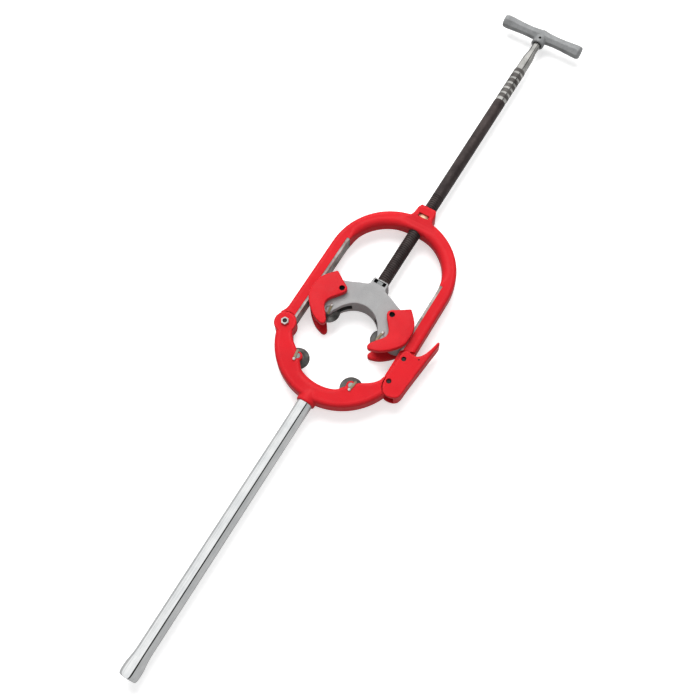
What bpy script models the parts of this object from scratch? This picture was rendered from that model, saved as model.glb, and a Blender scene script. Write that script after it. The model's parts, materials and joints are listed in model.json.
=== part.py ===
"""Hinged four-wheel pipe cutter, for steel pipe of 4 to 6 inches, lying on its back face.

Sizes are in millimetres in the tool's own frame and are turned into metres by MM when a mesh is made.
X runs from the hinge to the latch, Y along the feed screw towards the T-handle, and Z out of the front face.
Z = 0 is the mid-plane of the castings. The parent empty puts the origin at the bottom centre of the tool.
"""
from math import cos, pi, radians, sin, sqrt

import bmesh
import bpy
from mathutils import Matrix, Vector

MM = 0.001
GAP = 0.3                      # running and seating gap between neighbours

# Castings: half thicknesses and the two parallel legs
FRAME_HALF = 15.0
RAIL_HALF = 14.0               # machined guide rails, a shade thinner than the castings
LEG_OUT = 115.7
LEG_IN = 91.2
RAIL_IN = 96.0                 # where the machined rail meets the painted leg
RAIL_TOP = 172.0
CROWN_Y = 158.0                # centre of the rounded top of the upper frame
CROWN_IN_Y = 87.0

# Lower jaw
JAW_IN = 86.3
JAW_OUT = 116.2
JAW_OUT_Y = -2.45
SPLIT_Y = -20.0                # where upper and lower castings meet at the latch
SOCKET_R = 16.8
SOCKET_END = -125.0

# Hinge and latch
HINGE = (-104.0, -20.5)
EYE_R = 19.5
TONGUE_HALF = 7.5
LUG_HALF = 10.0
PIVOT = (105.0, 22.0)
CATCH = (103.0, -24.5)
CATCH_BOSS_R = 10.0
LEVER_HALF = 15.7
LEVER_EYE_R = 16.3
LATCH_PIN_R = 4.0

# Cutter wheels
WHEEL_R = 19.8
WHEEL_X = 52.5
LOWER_WHEEL_Y = -62.6
UPPER_WHEEL_Y = 37.5
WHEEL_HALF = 6.3
SLOT_HALF = 7.0
PIN_R = 4.75
PIN_HOLE_R = PIN_R + GAP

# Yoke and guide plates
YOKE_HALF = 17.5
PAD_HALF = 15.7
SHOE_X = 90.5
ARCH_X = 45.0                  # half axes and centre of the arch over the pipe
ARCH_RISE = 50.0
ARCH_Y = 22.5
BOSS_TOP = 129.0
PLATE_LOW = 16.0
PLATE_HIGH = 26.4
PLATE_SCREW = (49.6, 78.5)

# Feed screw, nut and T-handle
SCREW_R = 11.2
NECK_R = 6.2
SCREW_TIP = 111.3
RING_YS = [573.0, 587.3, 600.3, 613.3, 626.3, 640.3]
NUT_R = 14.7
NUT_LOW = 258.0
NUT_HIGH = 289.5
HEAD_TOP = 296.5
HEAD_HALF = 18.0
NUT_SCREW_Y = 284.0
T_Y = 747.0
T_HALF = 81.5

# Handle tube
TUBE_R = 13.35
TUBE_BORE = 10.5
TUBE_TOP = -94.0
TUBE_END = -630.0

# Fasteners and pins
HINGE_HOLE_R = 5.2
HINGE_SHANK_R = 4.9
HINGE_THREAD_R = 3.7
WASHER_THICK = 1.6
NUT_THICK = 4.4
NUT_CORNER_R = 7.2
SPRING_POCKET_R = 8.2
SET_SCREW_Y = -114.5
SET_SCREW_R = 3.0
T_PIN_Y = 733.0
T_PIN_R = 2.3

# Finishes: colour, roughness and metallic value
RED_PAINT = ((0.62, 0.02, 0.025), 0.38, 0.0)
SILVER_PAINT = ((0.52, 0.53, 0.54), 0.45, 0.6)
BRONZE = ((0.60, 0.40, 0.16), 0.35, 1.0)
BLACK_SCREW = ((0.03, 0.03, 0.03), 0.4, 0.9)
BLACK_SHANK = ((0.035, 0.03, 0.03), 0.42, 0.6)
DARK_STEEL = ((0.12, 0.12, 0.12), 0.35, 1.0)
TOOL_STEEL = ((0.20, 0.20, 0.19), 0.4, 1.0)
SPRING_STEEL = ((0.25, 0.25, 0.25), 0.3, 1.0)
GROUND_STEEL = ((0.45, 0.45, 0.45), 0.3, 1.0)
ROUGH_STEEL = ((0.42, 0.43, 0.44), 0.45, 0.7)
BRIGHT_ZINC = ((0.55, 0.55, 0.53), 0.3, 1.0)
CHROME = ((0.72, 0.73, 0.74), 0.18, 1.0)
YELLOW_ZINC = ((0.50, 0.42, 0.28), 0.3, 1.0)

STAND = {"Z": Matrix(), "Y": Matrix.Rotation(radians(-90), 4, "X"), "X": Matrix.Rotation(radians(90), 4, "Y")}


# ---------------------------------------------------------------- scene, materials and placing

def clear_scene():
    for obj in list(bpy.data.objects):
        bpy.data.objects.remove(obj, do_unlink=True)


def new_collection(name):
    collection = bpy.data.collections.new(name)
    bpy.context.scene.collection.children.link(collection)
    return collection


def finish_colour(name, colour, roughness, metallic):
    material = bpy.data.materials.new(name)
    material.use_nodes = True
    shader = material.node_tree.nodes["Principled BSDF"]
    shader.inputs["Base Color"].default_value = (*colour, 1.0)
    shader.inputs["Roughness"].default_value = roughness
    shader.inputs["Metallic"].default_value = metallic
    return material


def place(name, mesh, look, origin=(0, 0, 0), smooth=40.0):
    """Put a mesh made in the tool's frame into the part, with its object origin at the given point."""
    point = Vector(origin) * MM
    mesh.transform(Matrix.Translation(-point))
    obj = bpy.data.objects.new(name, mesh)
    obj.location = point
    obj.parent = base
    part.objects.link(obj)
    mesh.materials.append(finish_colour(name, *look))
    mesh.shade_smooth()
    mesh.set_sharp_from_angle(angle=radians(smooth))
    return obj


def helper(mesh, name):
    """A cutter, or a shape that is joined on: kept out of the render and shown as wire."""
    obj = bpy.data.objects.new(name, mesh)
    obj.parent = base
    obj.hide_render = True
    obj.display_type = "WIRE"
    cutters.objects.link(obj)
    return obj


def boolean(obj, operation, meshes):
    for number, mesh in enumerate(meshes):
        tool = helper(mesh, f"{obj.name}_{operation.lower()}_{number}")
        modifier = obj.modifiers.new(tool.name, "BOOLEAN")
        modifier.operation = operation
        modifier.solver = "EXACT"
        modifier.object = tool


def cut(obj, *meshes):
    boolean(obj, "DIFFERENCE", meshes)


def join(obj, *meshes):
    boolean(obj, "UNION", meshes)


def round_edges(obj, width, segments=2, angle=42.0):
    modifier = obj.modifiers.new("rounded_edges", "BEVEL")
    modifier.width = width * MM
    modifier.segments = segments
    modifier.limit_method = "ANGLE"
    modifier.angle_limit = radians(angle)


# ---------------------------------------------------------------- shapes

def arc(centre, radius, start, end, steps):
    """Points along an arc, angles in degrees."""
    points = []
    for step in range(steps + 1):
        turn = radians(start + (end - start) * step / steps)
        points.append((centre[0] + radius * cos(turn), centre[1] + radius * sin(turn)))
    return points


def flip(points):
    """The same outline on the other side of the Y axis."""
    return [(-x, y) for x, y in points]


def slab(points, low, high):
    """A flat outline, given by XY points, filled between two heights."""
    curve = bpy.data.curves.new("outline", "CURVE")
    curve.dimensions = "2D"
    curve.fill_mode = "BOTH"
    curve.extrude = (high - low) / 2 * MM
    spline = curve.splines.new("POLY")
    spline.points.add(len(points) - 1)
    for point, (x, y) in zip(spline.points, points):
        point.co = (x * MM, y * MM, 0, 1)
    spline.use_cyclic_u = True
    holder = bpy.data.objects.new("outline", curve)
    bpy.context.scene.collection.objects.link(holder)
    evaluated = holder.evaluated_get(bpy.context.evaluated_depsgraph_get())
    mesh = bpy.data.meshes.new_from_object(evaluated)
    bpy.data.objects.remove(holder, do_unlink=True)
    shape = bmesh.new()
    shape.from_mesh(mesh)
    bmesh.ops.remove_doubles(shape, verts=shape.verts, dist=0.00001)
    bmesh.ops.dissolve_limit(shape, angle_limit=0.002, verts=shape.verts, edges=shape.edges)
    bmesh.ops.translate(shape, verts=shape.verts, vec=(0, 0, (low + high) / 2 * MM))
    bmesh.ops.recalc_face_normals(shape, faces=shape.faces)
    return to_mesh(shape)


def to_mesh(shape):
    mesh = bpy.data.meshes.new("shape")
    shape.to_mesh(mesh)
    shape.free()
    return mesh


def block(low, high):
    """A box between two corners."""
    shape = bmesh.new()
    bmesh.ops.create_cube(shape, size=1.0)
    size = [(b - a) * MM for a, b in zip(low, high)]
    middle = [(a + b) / 2 * MM for a, b in zip(low, high)]
    bmesh.ops.scale(shape, vec=size, verts=shape.verts)
    bmesh.ops.translate(shape, vec=middle, verts=shape.verts)
    return to_mesh(shape)


def rod(point, radius, low, high, axis="Z", sides=24, turn=0.0, tip=None):
    """A cylinder, or a cone when tip is given, through a point and along an axis between two levels."""
    shape = bmesh.new()
    end_radius = radius if tip is None else tip
    bmesh.ops.create_cone(shape, cap_ends=True, segments=sides, radius1=radius * MM,
                          radius2=end_radius * MM, depth=(high - low) * MM)
    middle = Vector(point)
    middle["XYZ".index(axis)] = (low + high) / 2
    place_at = Matrix.Translation(middle * MM) @ STAND[axis] @ Matrix.Rotation(radians(turn), 4, "Z")
    bmesh.ops.transform(shape, matrix=place_at, verts=shape.verts)
    return to_mesh(shape)


def turned(profile, sides, axis="Z", point=(0, 0, 0), closed=False, turn=0.0):
    """A turned shape: (radius, height) points from the top down the outer side, spun about an axis."""
    shape = bmesh.new()
    verts = [shape.verts.new((radius * MM, 0, height * MM)) for radius, height in profile]
    for first, second in zip(verts, verts[1:]):
        shape.edges.new((first, second))
    if closed:
        shape.edges.new((verts[-1], verts[0]))
    holder = bpy.data.objects.new("profile", to_mesh(shape))
    bpy.context.scene.collection.objects.link(holder)
    spin = holder.modifiers.new("spin", "SCREW")
    spin.steps = sides
    spin.render_steps = sides
    spin.use_merge_vertices = True
    spin.merge_threshold = 0.000001
    evaluated = holder.evaluated_get(bpy.context.evaluated_depsgraph_get())
    mesh = bpy.data.meshes.new_from_object(evaluated)
    bpy.data.objects.remove(holder, do_unlink=True)
    spun = Matrix.Rotation(radians(turn), 4, "Z")
    mesh.transform(Matrix.Translation(Vector(point) * MM) @ STAND[axis] @ spun)
    return mesh


def both_faces(points, low, high):
    """The same flat cutter on the front and on the back."""
    return slab(points, low, high), slab(points, -high, -low)


# ---------------------------------------------------------------- upper frame and what is fixed to it

def upper_frame():
    eye_r = EYE_R - GAP
    outer_turn = 180 - degrees_of(LEG_OUT + HINGE[0], eye_r)
    inner_turn = degrees_of(-LEG_IN - HINGE[0], eye_r)
    outline = arc((0, CROWN_Y), LEG_OUT, 0, 180, 36)
    outline += arc(HINGE, eye_r, outer_turn, 360 + inner_turn, 20)
    outline += [(LEG_IN * x, CROWN_Y + CROWN_IN_Y * y) for x, y in arc((0, 0), 1, 180, 0, 32)]
    outline += [(LEG_IN, SPLIT_Y), (LEG_OUT, SPLIT_Y)]
    frame = place("upper_frame", slab(outline, -FRAME_HALF, FRAME_HALF), RED_PAINT)
    round_edges(frame, 4.0)
    join(frame, screw_head())
    rail = [(-RAIL_IN, -12), (-80, -12), (-80, RAIL_TOP), (-RAIL_IN, RAIL_TOP)]
    cut(frame, *both_faces(rail, RAIL_HALF, 30), *both_faces(flip(rail), RAIL_HALF, 30))
    fork_room = arc(HINGE, EYE_R + GAP + 0.2, 0, 350, 25)
    cut(frame, *both_faces(fork_room, TONGUE_HALF, 30))
    lever_room = arc(PIVOT, LEVER_EYE_R + 0.5, 180, 84, 10)
    lever_room += [polar(PIVOT, 18.6, 76), polar(PIVOT, 20.6, 70)]
    lever_room += [polar(PIVOT, 22.7, 64.5), polar(PIVOT, 25.4, 60)]
    lever_room += [(140, 50), (140, -60), (88.2, -60)]
    cut(frame, *both_faces(lever_room, LUG_HALF, 30))
    cut(frame, rod((*CATCH, 0), CATCH_BOSS_R + GAP + 0.2, -20, 20))
    cut(frame, rod((*HINGE, 0), HINGE_HOLE_R, -20, 20))
    cut(frame, rod((*PIVOT, 0), LATCH_PIN_R + GAP, -20, 20))
    cut(frame, rod((*PIVOT, 0), SPRING_POCKET_R, -20, -3.2))
    cut(frame, rod((0, 0, 0), NUT_R + GAP, 230, NUT_HIGH + GAP, axis="Y", sides=28))
    cut(frame, rod((0, 0, 0), SCREW_R + 0.8, 280, 310, axis="Y", sides=28))
    cut(frame, block((-9.8, 271.8, 10.0), (9.8, 279.4, 30)))
    cut(frame, rod((0, NUT_SCREW_Y, 0), 2.7, -30, -10, axis="X", sides=16))


def screw_head():
    """Square boss with bevelled edges at the top of the upper frame, round the nut."""
    size = HEAD_HALF - 3.5
    right = [(19.5, 258), (HEAD_HALF, 288), (size, HEAD_TOP)]
    left = flip(right)
    outline = [left[0], *right, left[2], left[1]]
    shape = bmesh.new()
    shape.from_mesh(slab(outline, -HEAD_HALF, HEAD_HALF))
    rims = [edge for edge in shape.edges if abs(edge.verts[0].co.z - edge.verts[1].co.z) < 0.001]
    bmesh.ops.bevel(shape, geom=rims, offset=3.0 * MM, segments=2, profile=0.5, affect="EDGES")
    return to_mesh(shape)


def degrees_of(side, radius):
    """Angle whose cosine is side over radius."""
    from_axis = Vector((side, sqrt(radius * radius - side * side)))
    return Vector((1, 0)).angle(from_axis) * 180 / pi


def polar(centre, radius, turn):
    return centre[0] + radius * cos(radians(turn)), centre[1] + radius * sin(radians(turn))


def feed_nut():
    bore = SCREW_R + 0.4
    profile = [(bore, NUT_HIGH), (NUT_R - 0.8, NUT_HIGH), (NUT_R, NUT_HIGH - 0.8)]
    profile += [(NUT_R, NUT_LOW + 0.8), (NUT_R - 0.8, NUT_LOW), (bore, NUT_LOW)]
    place("feed_nut", turned(profile, 28, axis="Y", closed=True), BRONZE)


def feed_nut_screw():
    profile = [(0, -15.1), (1.6, -15.1), (2.4, -15.6), (2.4, -17.6), (0, -17.6)]
    screw = place("feed_nut_screw", turned(profile, 16, axis="X", point=(0, NUT_SCREW_Y, 0)), BLACK_SCREW)
    cut(screw, rod((0, NUT_SCREW_Y, 0), 1.2, -20, -16.4, axis="X", sides=6))


def hinge_bolt():
    """Headed at the back, with a thinner threaded end that stays just below the nut's face."""
    under = -FRAME_HALF - GAP - WASHER_THICK - GAP
    profile = [(0, 17.4), (HINGE_THREAD_R - 0.5, 17.4), (HINGE_THREAD_R, 16.9), (HINGE_THREAD_R, 13.0)]
    profile += [(HINGE_SHANK_R, 13.0), (HINGE_SHANK_R, under)]
    profile += [(8.6, under), (8.6, under - 4.6), (7.8, under - 5.4), (0, under - 5.4)]
    place("hinge_bolt", turned(profile, 20, point=(*HINGE, 0)), DARK_STEEL, (*HINGE, 0))


def hinge_nut():
    low = FRAME_HALF + GAP
    hexagon = rod((*HINGE, 0), NUT_CORNER_R, low, low + NUT_THICK, sides=6)
    nut = place("hinge_nut", hexagon, BRIGHT_ZINC, (*HINGE, 0))
    cut(nut, rod((*HINGE, 0), HINGE_THREAD_R + GAP, 0, 40))


def hinge_washer():
    top = -FRAME_HALF - GAP
    bottom = top - WASHER_THICK
    profile = [(HINGE_HOLE_R, top), (10.2, top), (10.2, bottom), (HINGE_HOLE_R, bottom)]
    washer = turned(profile, 24, point=(*HINGE, 0), closed=True)
    place("hinge_washer", washer, BRIGHT_ZINC, (*HINGE, 0))


def latch_pin(name, centre, half=12.8):
    """Plain pin with chamfered ends, through the lever's two cheeks."""
    rim = LATCH_PIN_R - 0.6
    profile = [(0, half), (rim, half), (LATCH_PIN_R, half - 0.6)]
    profile += [(LATCH_PIN_R, 0.6 - half), (rim, -half), (0, -half)]
    place(name, turned(profile, 16, point=(*centre, 0)), DARK_STEEL, (*centre, 0))


def latch_spring():
    """Torsion spring round the latch pivot, in its pocket at the back of the lug."""
    wire = 0.75
    coil = 6.2
    lead = 1.75
    bottom = -8.9
    turns = 2.6
    per_turn = 12
    count = int(turns * per_turn)
    curve = bpy.data.curves.new("latch_spring", "CURVE")
    curve.dimensions = "3D"
    curve.bevel_depth = wire * MM
    curve.bevel_resolution = 2
    curve.use_fill_caps = True
    spline = curve.splines.new("POLY")
    spline.points.add(count)
    for step, point in enumerate(spline.points):
        x, y = polar(PIVOT, coil, 360 * step / per_turn)
        point.co = (x * MM, y * MM, (bottom + lead * step / per_turn) * MM, 1)
    holder = bpy.data.objects.new("latch_spring_path", curve)
    bpy.context.scene.collection.objects.link(holder)
    evaluated = holder.evaluated_get(bpy.context.evaluated_depsgraph_get())
    mesh = bpy.data.meshes.new_from_object(evaluated)
    bpy.data.objects.remove(holder, do_unlink=True)
    shape = bmesh.new()
    shape.from_mesh(mesh)
    bmesh.ops.remove_doubles(shape, verts=shape.verts, dist=0.00001)
    place("latch_spring", to_mesh(shape), SPRING_STEEL, (*PIVOT, 0))


# ---------------------------------------------------------------- latch lever

def latch_lever():
    outline = arc(PIVOT, LEVER_EYE_R, 66, 108, 6)
    outline += [(97.2, 31), (96.4, 8), (96.0, -28), (98.5, -38), (104.5, -45.5), (112, -48.5), (119, -48.2)]
    outline += [(125.3, -46), (130.0, -42), (132.3, -36), (133.8, -18), (136.6, 8), (139.2, 32), (141.6, 55)]
    outline += [(143.8, 72), (143.6, 77), (141.9, 79.4), (139.8, 78.8), (138.4, 75.5), (136.8, 68)]
    outline += [(134.5, 58), (131.5, 49.5), (127.6, 43), (122.7, 38)]
    lever = place("latch_lever", slab(outline, -LEVER_HALF, LEVER_HALF), RED_PAINT, (*PIVOT, 0))
    round_edges(lever, 1.2)
    throat = [(80, 60), (80, -60), (124, -60), (124, 30), (121.5, 45), (118, 60)]
    cut(lever, slab(throat, -LUG_HALF - 0.4, LUG_HALF + 0.4))
    # Room for the catch pin on the inner side of each cheek, open to the left and below.
    catch_room = [(80, -17), (80, -60), (107.8, -60), (107.8, -17)]
    cut(lever, *both_faces(catch_room, LUG_HALF, 13.9))
    cut(lever, rod((*PIVOT, 0), LATCH_PIN_R + GAP, -30, 30))
    cut(lever, rod((*CATCH, 0), LATCH_PIN_R + 0.6, -30, 30))
    cut(lever, rod((127.5, 33.5, 0), 1.3, 12.0, 30, sides=12))


# ---------------------------------------------------------------- lower jaw and what is fixed to it

def lower_frame():
    split = SPLIT_Y - 0.4
    split_x = sqrt(JAW_OUT ** 2 - (split - JAW_OUT_Y) ** 2)
    out_start = -90 + degrees_of(JAW_OUT_Y - split, JAW_OUT)
    outline = [(LEG_IN, split), (split_x, split)]
    outline += arc((0, JAW_OUT_Y), JAW_OUT, out_start - 2, -160.5, 32)
    outline += arc(HINGE, EYE_R, -104, -350, 20)
    outline += [(-85.2, -26.5), (-81.2, -33.2), (-75.5, -40.5), (-62, -51), (-41.5, -71.5), (-33, -79.7)]
    outline += arc((0, 0), JAW_IN, -112.5, -67.5, 14)
    outline += [(33, -79.7), (41.5, -71.5), (62, -51), (74.5, -43.5), (82.5, -37), (88.2, -29.5)]
    jaw = place("lower_frame", slab(outline, -FRAME_HALF, FRAME_HALF), RED_PAINT, (*HINGE, 0))
    round_edges(jaw, 4.0)
    lug_half = FRAME_HALF - 0.8
    axles = [(side * WHEEL_X, LOWER_WHEEL_Y, 0) for side in (-1, 1)]
    join(jaw, rod((0, 0, 0), SOCKET_R, SOCKET_END, -97, axis="Y", tip=SOCKET_R - 2.0))
    join(jaw, *[rod(axle, 8.2, -lug_half, lug_half) for axle in axles])
    for axle in axles:
        cut(jaw, rod(axle, WHEEL_R + 2.0, -SLOT_HALF, SLOT_HALF, sides=32))
        cut(jaw, rod(axle, PIN_HOLE_R, -30, 30))
    cut(jaw, slab(arc(HINGE, EYE_R + 0.3, 0, 350, 25), -TONGUE_HALF - 0.4, TONGUE_HALF + 0.4))
    cut(jaw, rod((*HINGE, 0), HINGE_HOLE_R, -20, 20))
    lever_room = [(94.5, -5), (94.5, -31), (97, -40), (103, -48), (111.5, -51), (122, -51.5)]
    lever_room += [(150, -51.5), (150, -5)]
    cut(jaw, *both_faces(lever_room, LUG_HALF, 30))
    join(jaw, rod((*CATCH, 0), CATCH_BOSS_R, -LUG_HALF + 0.4, LUG_HALF - 0.4))
    cut(jaw, rod((*CATCH, 0), LATCH_PIN_R + GAP, -20, 20))
    cut(jaw, rod((0, 0, 0), TUBE_R + GAP, -140, TUBE_TOP + GAP, axis="Y"))
    cut(jaw, rod((0, SET_SCREW_Y, 0), SET_SCREW_R + GAP, -30, -10, sides=16))


def handle_tube():
    """Plated steel tube, belled and rolled over at its free end."""
    profile = [(TUBE_BORE, TUBE_TOP), (TUBE_R - 1, TUBE_TOP), (TUBE_R, TUBE_TOP - 1), (TUBE_R, -588)]
    profile += [(14.3, -598), (15.8, -608), (16.1, -616), (16.0, -624), (14.6, -628.6), (12.4, TUBE_END)]
    profile += [(10.6, -628.4), (10.2, -624), (TUBE_BORE, -612)]
    place("handle_tube", turned(profile, 24, axis="Y", closed=True), CHROME, (0, TUBE_TOP, 0))


def handle_set_screw():
    home = -TUBE_R - GAP
    profile = [(0, home), (2.2, home), (SET_SCREW_R, home - 0.6), (SET_SCREW_R, -16.4), (0, -16.4)]
    screw = place("handle_set_screw", turned(profile, 16, point=(0, SET_SCREW_Y, 0)), BLACK_SCREW)
    cut(screw, rod((0, SET_SCREW_Y, 0), 1.6, -20, -15.0, sides=6))


# ---------------------------------------------------------------- wheels, their pins and clips

def wheel_places():
    return {"lower_left": (-WHEEL_X, LOWER_WHEEL_Y), "lower_right": (WHEEL_X, LOWER_WHEEL_Y),
            "upper_left": (-WHEEL_X, UPPER_WHEEL_Y), "upper_right": (WHEEL_X, UPPER_WHEEL_Y)}


def cutter_wheel(name, centre):
    profile = [(PIN_HOLE_R, WHEEL_HALF), (10.2, WHEEL_HALF), (11.6, 3.8), (WHEEL_R, 0.25)]
    profile += [(radius, -height) for radius, height in reversed(profile)]
    wheel = turned(profile, 32, point=(*centre, 0), closed=True)
    place(f"{name}_wheel", wheel, TOOL_STEEL, (*centre, 0))


def seat_level(name):
    return FRAME_HALF if name.startswith("lower") else PAD_HALF


def wheel_pin(name, centre):
    """Pin with its head at the back; its front end sits flush under the clip."""
    seat = seat_level(name)
    head = 6.6 if name.startswith("lower") else 5.6
    profile = [(0, seat - 0.2), (PIN_R - 0.6, seat - 0.2), (PIN_R, seat - 0.8), (PIN_R, -seat - GAP)]
    profile += [(head, -seat - GAP), (head, -seat - 2.4), (head - 0.6, -seat - 3.0), (0, -seat - 3.0)]
    place(f"{name}_pin", turned(profile, 20, point=(*centre, 0)), BRIGHT_ZINC, (*centre, 0))


def pin_clip(name, centre):
    """Flat spring over the pin's end, held by a round button on the casting beside it."""
    low = seat_level(name) + GAP
    button = (1.7, -8.0)
    outline = arc(button, 2.4, 171, 351, 6) + [(6.4, 6.9)] + arc((4.3, 8.0), 2.2, -9, 171, 6) + [(1.4, 3.0)]
    clip = slab(outline, low, low + 1.2)
    knob = rod((*button, 0), 3.0, low + 0.4, low + 2.3, sides=16, tip=2.4)
    turn = 0.0 if name.startswith("lower") else 180.0
    beside_wheel = Matrix.Translation(Vector((*centre, 0)) * MM) @ Matrix.Rotation(radians(turn), 4, "Z")
    for mesh in (clip, knob):
        mesh.transform(beside_wheel)
        if centre[0] < 0:
            mirror_about(mesh, centre[0])
    spring = place(f"{name}_clip", clip, YELLOW_ZINC, (*centre, 0))
    join(spring, knob)


def mirror_about(mesh, x):
    """Mirror a mesh in the plane X = x, keeping its faces turned outward."""
    mesh.transform(Matrix.Translation((2 * x * MM, 0, 0)) @ Matrix.Scale(-1, 4, (1, 0, 0)))
    mesh.flip_normals()


# ---------------------------------------------------------------- yoke group

def yoke():
    wheel = (WHEEL_X, UPPER_WHEEL_Y)
    right = [(12.2, BOSS_TOP), (14.6, 127.3), (15.2, 124), (15.2, 115.5), (17.2, 112.6), (23, 110.6)]
    right += [(33, 106.6), (42, 102.6), (51.5, 98.4), (62, 95.4), (76, 92.5), (85, 89)]
    right += [(SHOE_X, 84), (SHOE_X, 36), (87.5, 31), (80, 28.8), (68, 29.6), (61.5, 31)]
    right += arc(wheel, 7.8, -25, -190, 9)
    right += [(41.8, 41.8)]
    right += [(ARCH_X * x, ARCH_Y + ARCH_RISE * y) for x, y in arc((0, 0), 1, 27, 90, 13)]
    left = [point for point in reversed(flip(right))][1:]
    body = place("yoke", slab(right + left, -YOKE_HALF, YOKE_HALF), SILVER_PAINT)
    round_edges(body, 2.0)
    cheek = [(20, YOKE_HALF + 0.1), (37, PAD_HALF), (100, PAD_HALF), (100, 30), (20, 30)]
    back = [(x, -z) for x, z in cheek]
    cut(body, *[across(side, 0, 140) for side in (cheek, back, flip(cheek), flip(back))])
    for side in (-1, 1):
        axle = (side * WHEEL_X, UPPER_WHEEL_Y, 0)
        screw = (side * PLATE_SCREW[0], PLATE_SCREW[1], 0)
        cut(body, rod(axle, WHEEL_R + 2.2, -SLOT_HALF, SLOT_HALF, sides=32))
        cut(body, rod((side * 37, 52, 0), 20, -SLOT_HALF + 0.2, SLOT_HALF - 0.2))
        cut(body, rod(axle, PIN_HOLE_R, -30, 30))
        cut(body, rod(screw, 3.0, 4, 30, sides=16), rod(screw, 3.0, -30, -4, sides=16))
    cut(body, rod((0, 0, 0), 9.4, 108, 140, axis="Y"))
    cut(body, block((-11.2, 119.3, -30), (11.2, 126.7, 30)))


def across(points, low, high):
    """A flat outline given by XZ points, filled between two levels of Y."""
    mesh = slab([(x, -z) for x, z in points], low, high)
    mesh.transform(Matrix.Rotation(radians(-90), 4, "X"))
    return mesh


def guide_plate(name, side, face):
    """Shield plate over one end of the yoke: it straddles the rail and its finger steadies the pipe."""
    outline = [(74, 103.2), (83.5, 92.6), (91.5, 82), (95.6, 71), (96, 62), (96, 47), (94, 41), (86, 28.8)]
    outline += [(76, 18.6), (64, 9.8), (52, 5.2), (47, 4.2), (43.4, 5.6), (41.6, 9.2), (42.4, 13.4)]
    outline += [(50, 24.5), (57, 33), (60.6, 40.5), (60.4, 47), (56, 55), (46.2, 67.5), (41.4, 74.5)]
    outline += arc(PLATE_SCREW, 9.0, 185, 128, 5)
    outline += [(70.5, 102.6)]
    if side < 0:
        outline = flip(outline)
    low, high = (PLATE_LOW, PLATE_HIGH) if face > 0 else (-PLATE_HIGH, -PLATE_LOW)
    centre = (side * PLATE_SCREW[0], PLATE_SCREW[1], 0)
    plate = place(name, slab(outline, low, high), RED_PAINT, centre)
    round_edges(plate, 1.4)
    sink = 17.8
    through, counterbore = ((10, 30), (sink, 40)) if face > 0 else ((-30, -10), (-40, -sink))
    cut(plate, rod(centre, 3.2, *through, sides=20), rod(centre, 5.0, *counterbore, sides=24))


def plate_screw(name, side, face):
    centre = (side * PLATE_SCREW[0], PLATE_SCREW[1], 0)
    profile = [(0, 22.6), (3.9, 22.6), (4.6, 21.9), (4.6, 18.1)]
    profile += [(2.7, 18.1), (2.7, 6.0), (2.0, 5.2), (0, 5.2)]
    mesh = turned(profile, 20)
    if face < 0:
        mesh.transform(Matrix.Rotation(pi, 4, "X"))
    mesh.transform(Matrix.Translation(Vector(centre) * MM))
    screw = place(name, mesh, BLACK_SCREW, centre)
    reach = (20.2, 30) if face > 0 else (-30, -20.2)
    cut(screw, rod(centre, 2.6, *reach, sides=6))


def screw_keeper():
    """Fork that drops over the screw's neck through the window in the yoke's boss."""
    throat = NECK_R + 0.5
    outline = [(-5.0, 16.6), (-5.0, 11), (-10.2, 11), (-10.2, -9), (-throat, -9)]
    outline += arc((0, 0), throat, 180, 0, 12)
    outline += [(throat, -9), (10.2, -9), (10.2, 11), (5.0, 11), (5.0, 16.6)]
    mesh = slab(outline, -3.1, 3.1)
    mesh.transform(Matrix.Translation(Vector((0, 123.0, 0)) * MM) @ Matrix.Rotation(radians(90), 4, "X"))
    place("screw_keeper", mesh, GROUND_STEEL, (0, 123.0, 0))


def thrust_washer():
    profile = [(0, 110.9), (8.3, 110.9), (8.8, 110.4), (8.8, 108.8), (8.3, 108.3), (0, 108.3)]
    place("thrust_washer", turned(profile, 20, axis="Y"), GROUND_STEEL, (0, 108.3, 0))


# ---------------------------------------------------------------- feed screw group

def feed_screw():
    profile = [(0, 749), (7.5, 749), (7.5, 703), (10.3, 688), (10.6, 652.5), (SCREW_R, 650.5)]
    groove = SCREW_R - 0.5
    for ring in reversed(RING_YS):
        profile += [(SCREW_R, ring + 2.2), (groove, ring + 1.7), (groove, ring - 1.7), (SCREW_R, ring - 2.2)]
    profile += [(SCREW_R, 131.6), (SCREW_R - 1.4, 129.8), (NECK_R, 129.2), (NECK_R, 119.0), (9.0, 118.6)]
    profile += [(9.0, 112.4), (8.0, SCREW_TIP), (0, SCREW_TIP)]
    place("feed_screw", turned(profile, 20, axis="Y"), BLACK_SHANK, (0, SCREW_TIP, 0))


def t_handle():
    half = [(10.9, 0), (10.9, 16), (11.2, 35), (12.3, 58), (13.0, 76.5), (11.0, T_HALF), (0, T_HALF)]
    profile = half[::-1] + [(radius, -along) for radius, along in half[1:]]
    octagon = turned(profile, 8, axis="X", point=(0, T_Y, 0), turn=22.5)
    bar = place("t_handle", octagon, ROUGH_STEEL, (0, T_Y, 0), smooth=30.0)
    join(bar, rod((0, 0, 0), 12.6, 724, 751, axis="Y", sides=28))
    join(bar, rod((0, 0, 0), 12.6, 750, 760.2, axis="Y", sides=28, tip=9.0))
    cut(bar, rod((0, 0, 0), 7.9, 700, 749.6, axis="Y"), rod((0, 0, 0), 10.4, 720, 725.6, axis="Y", tip=8.0))
    cut(bar, rod((0, T_PIN_Y, 0), T_PIN_R + GAP, -20, 20, sides=16))


def t_handle_pin():
    """Short grub pin in the front of the boss, home against the shank."""
    profile = [(0, 11.2), (1.8, 11.2), (T_PIN_R, 10.7), (T_PIN_R, 8.4), (1.6, 7.8), (0, 7.8)]
    place("t_handle_pin", turned(profile, 16, point=(0, T_PIN_Y, 0)), BLACK_SCREW, (0, T_PIN_Y, 0))


# ---------------------------------------------------------------- the whole tool

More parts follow.
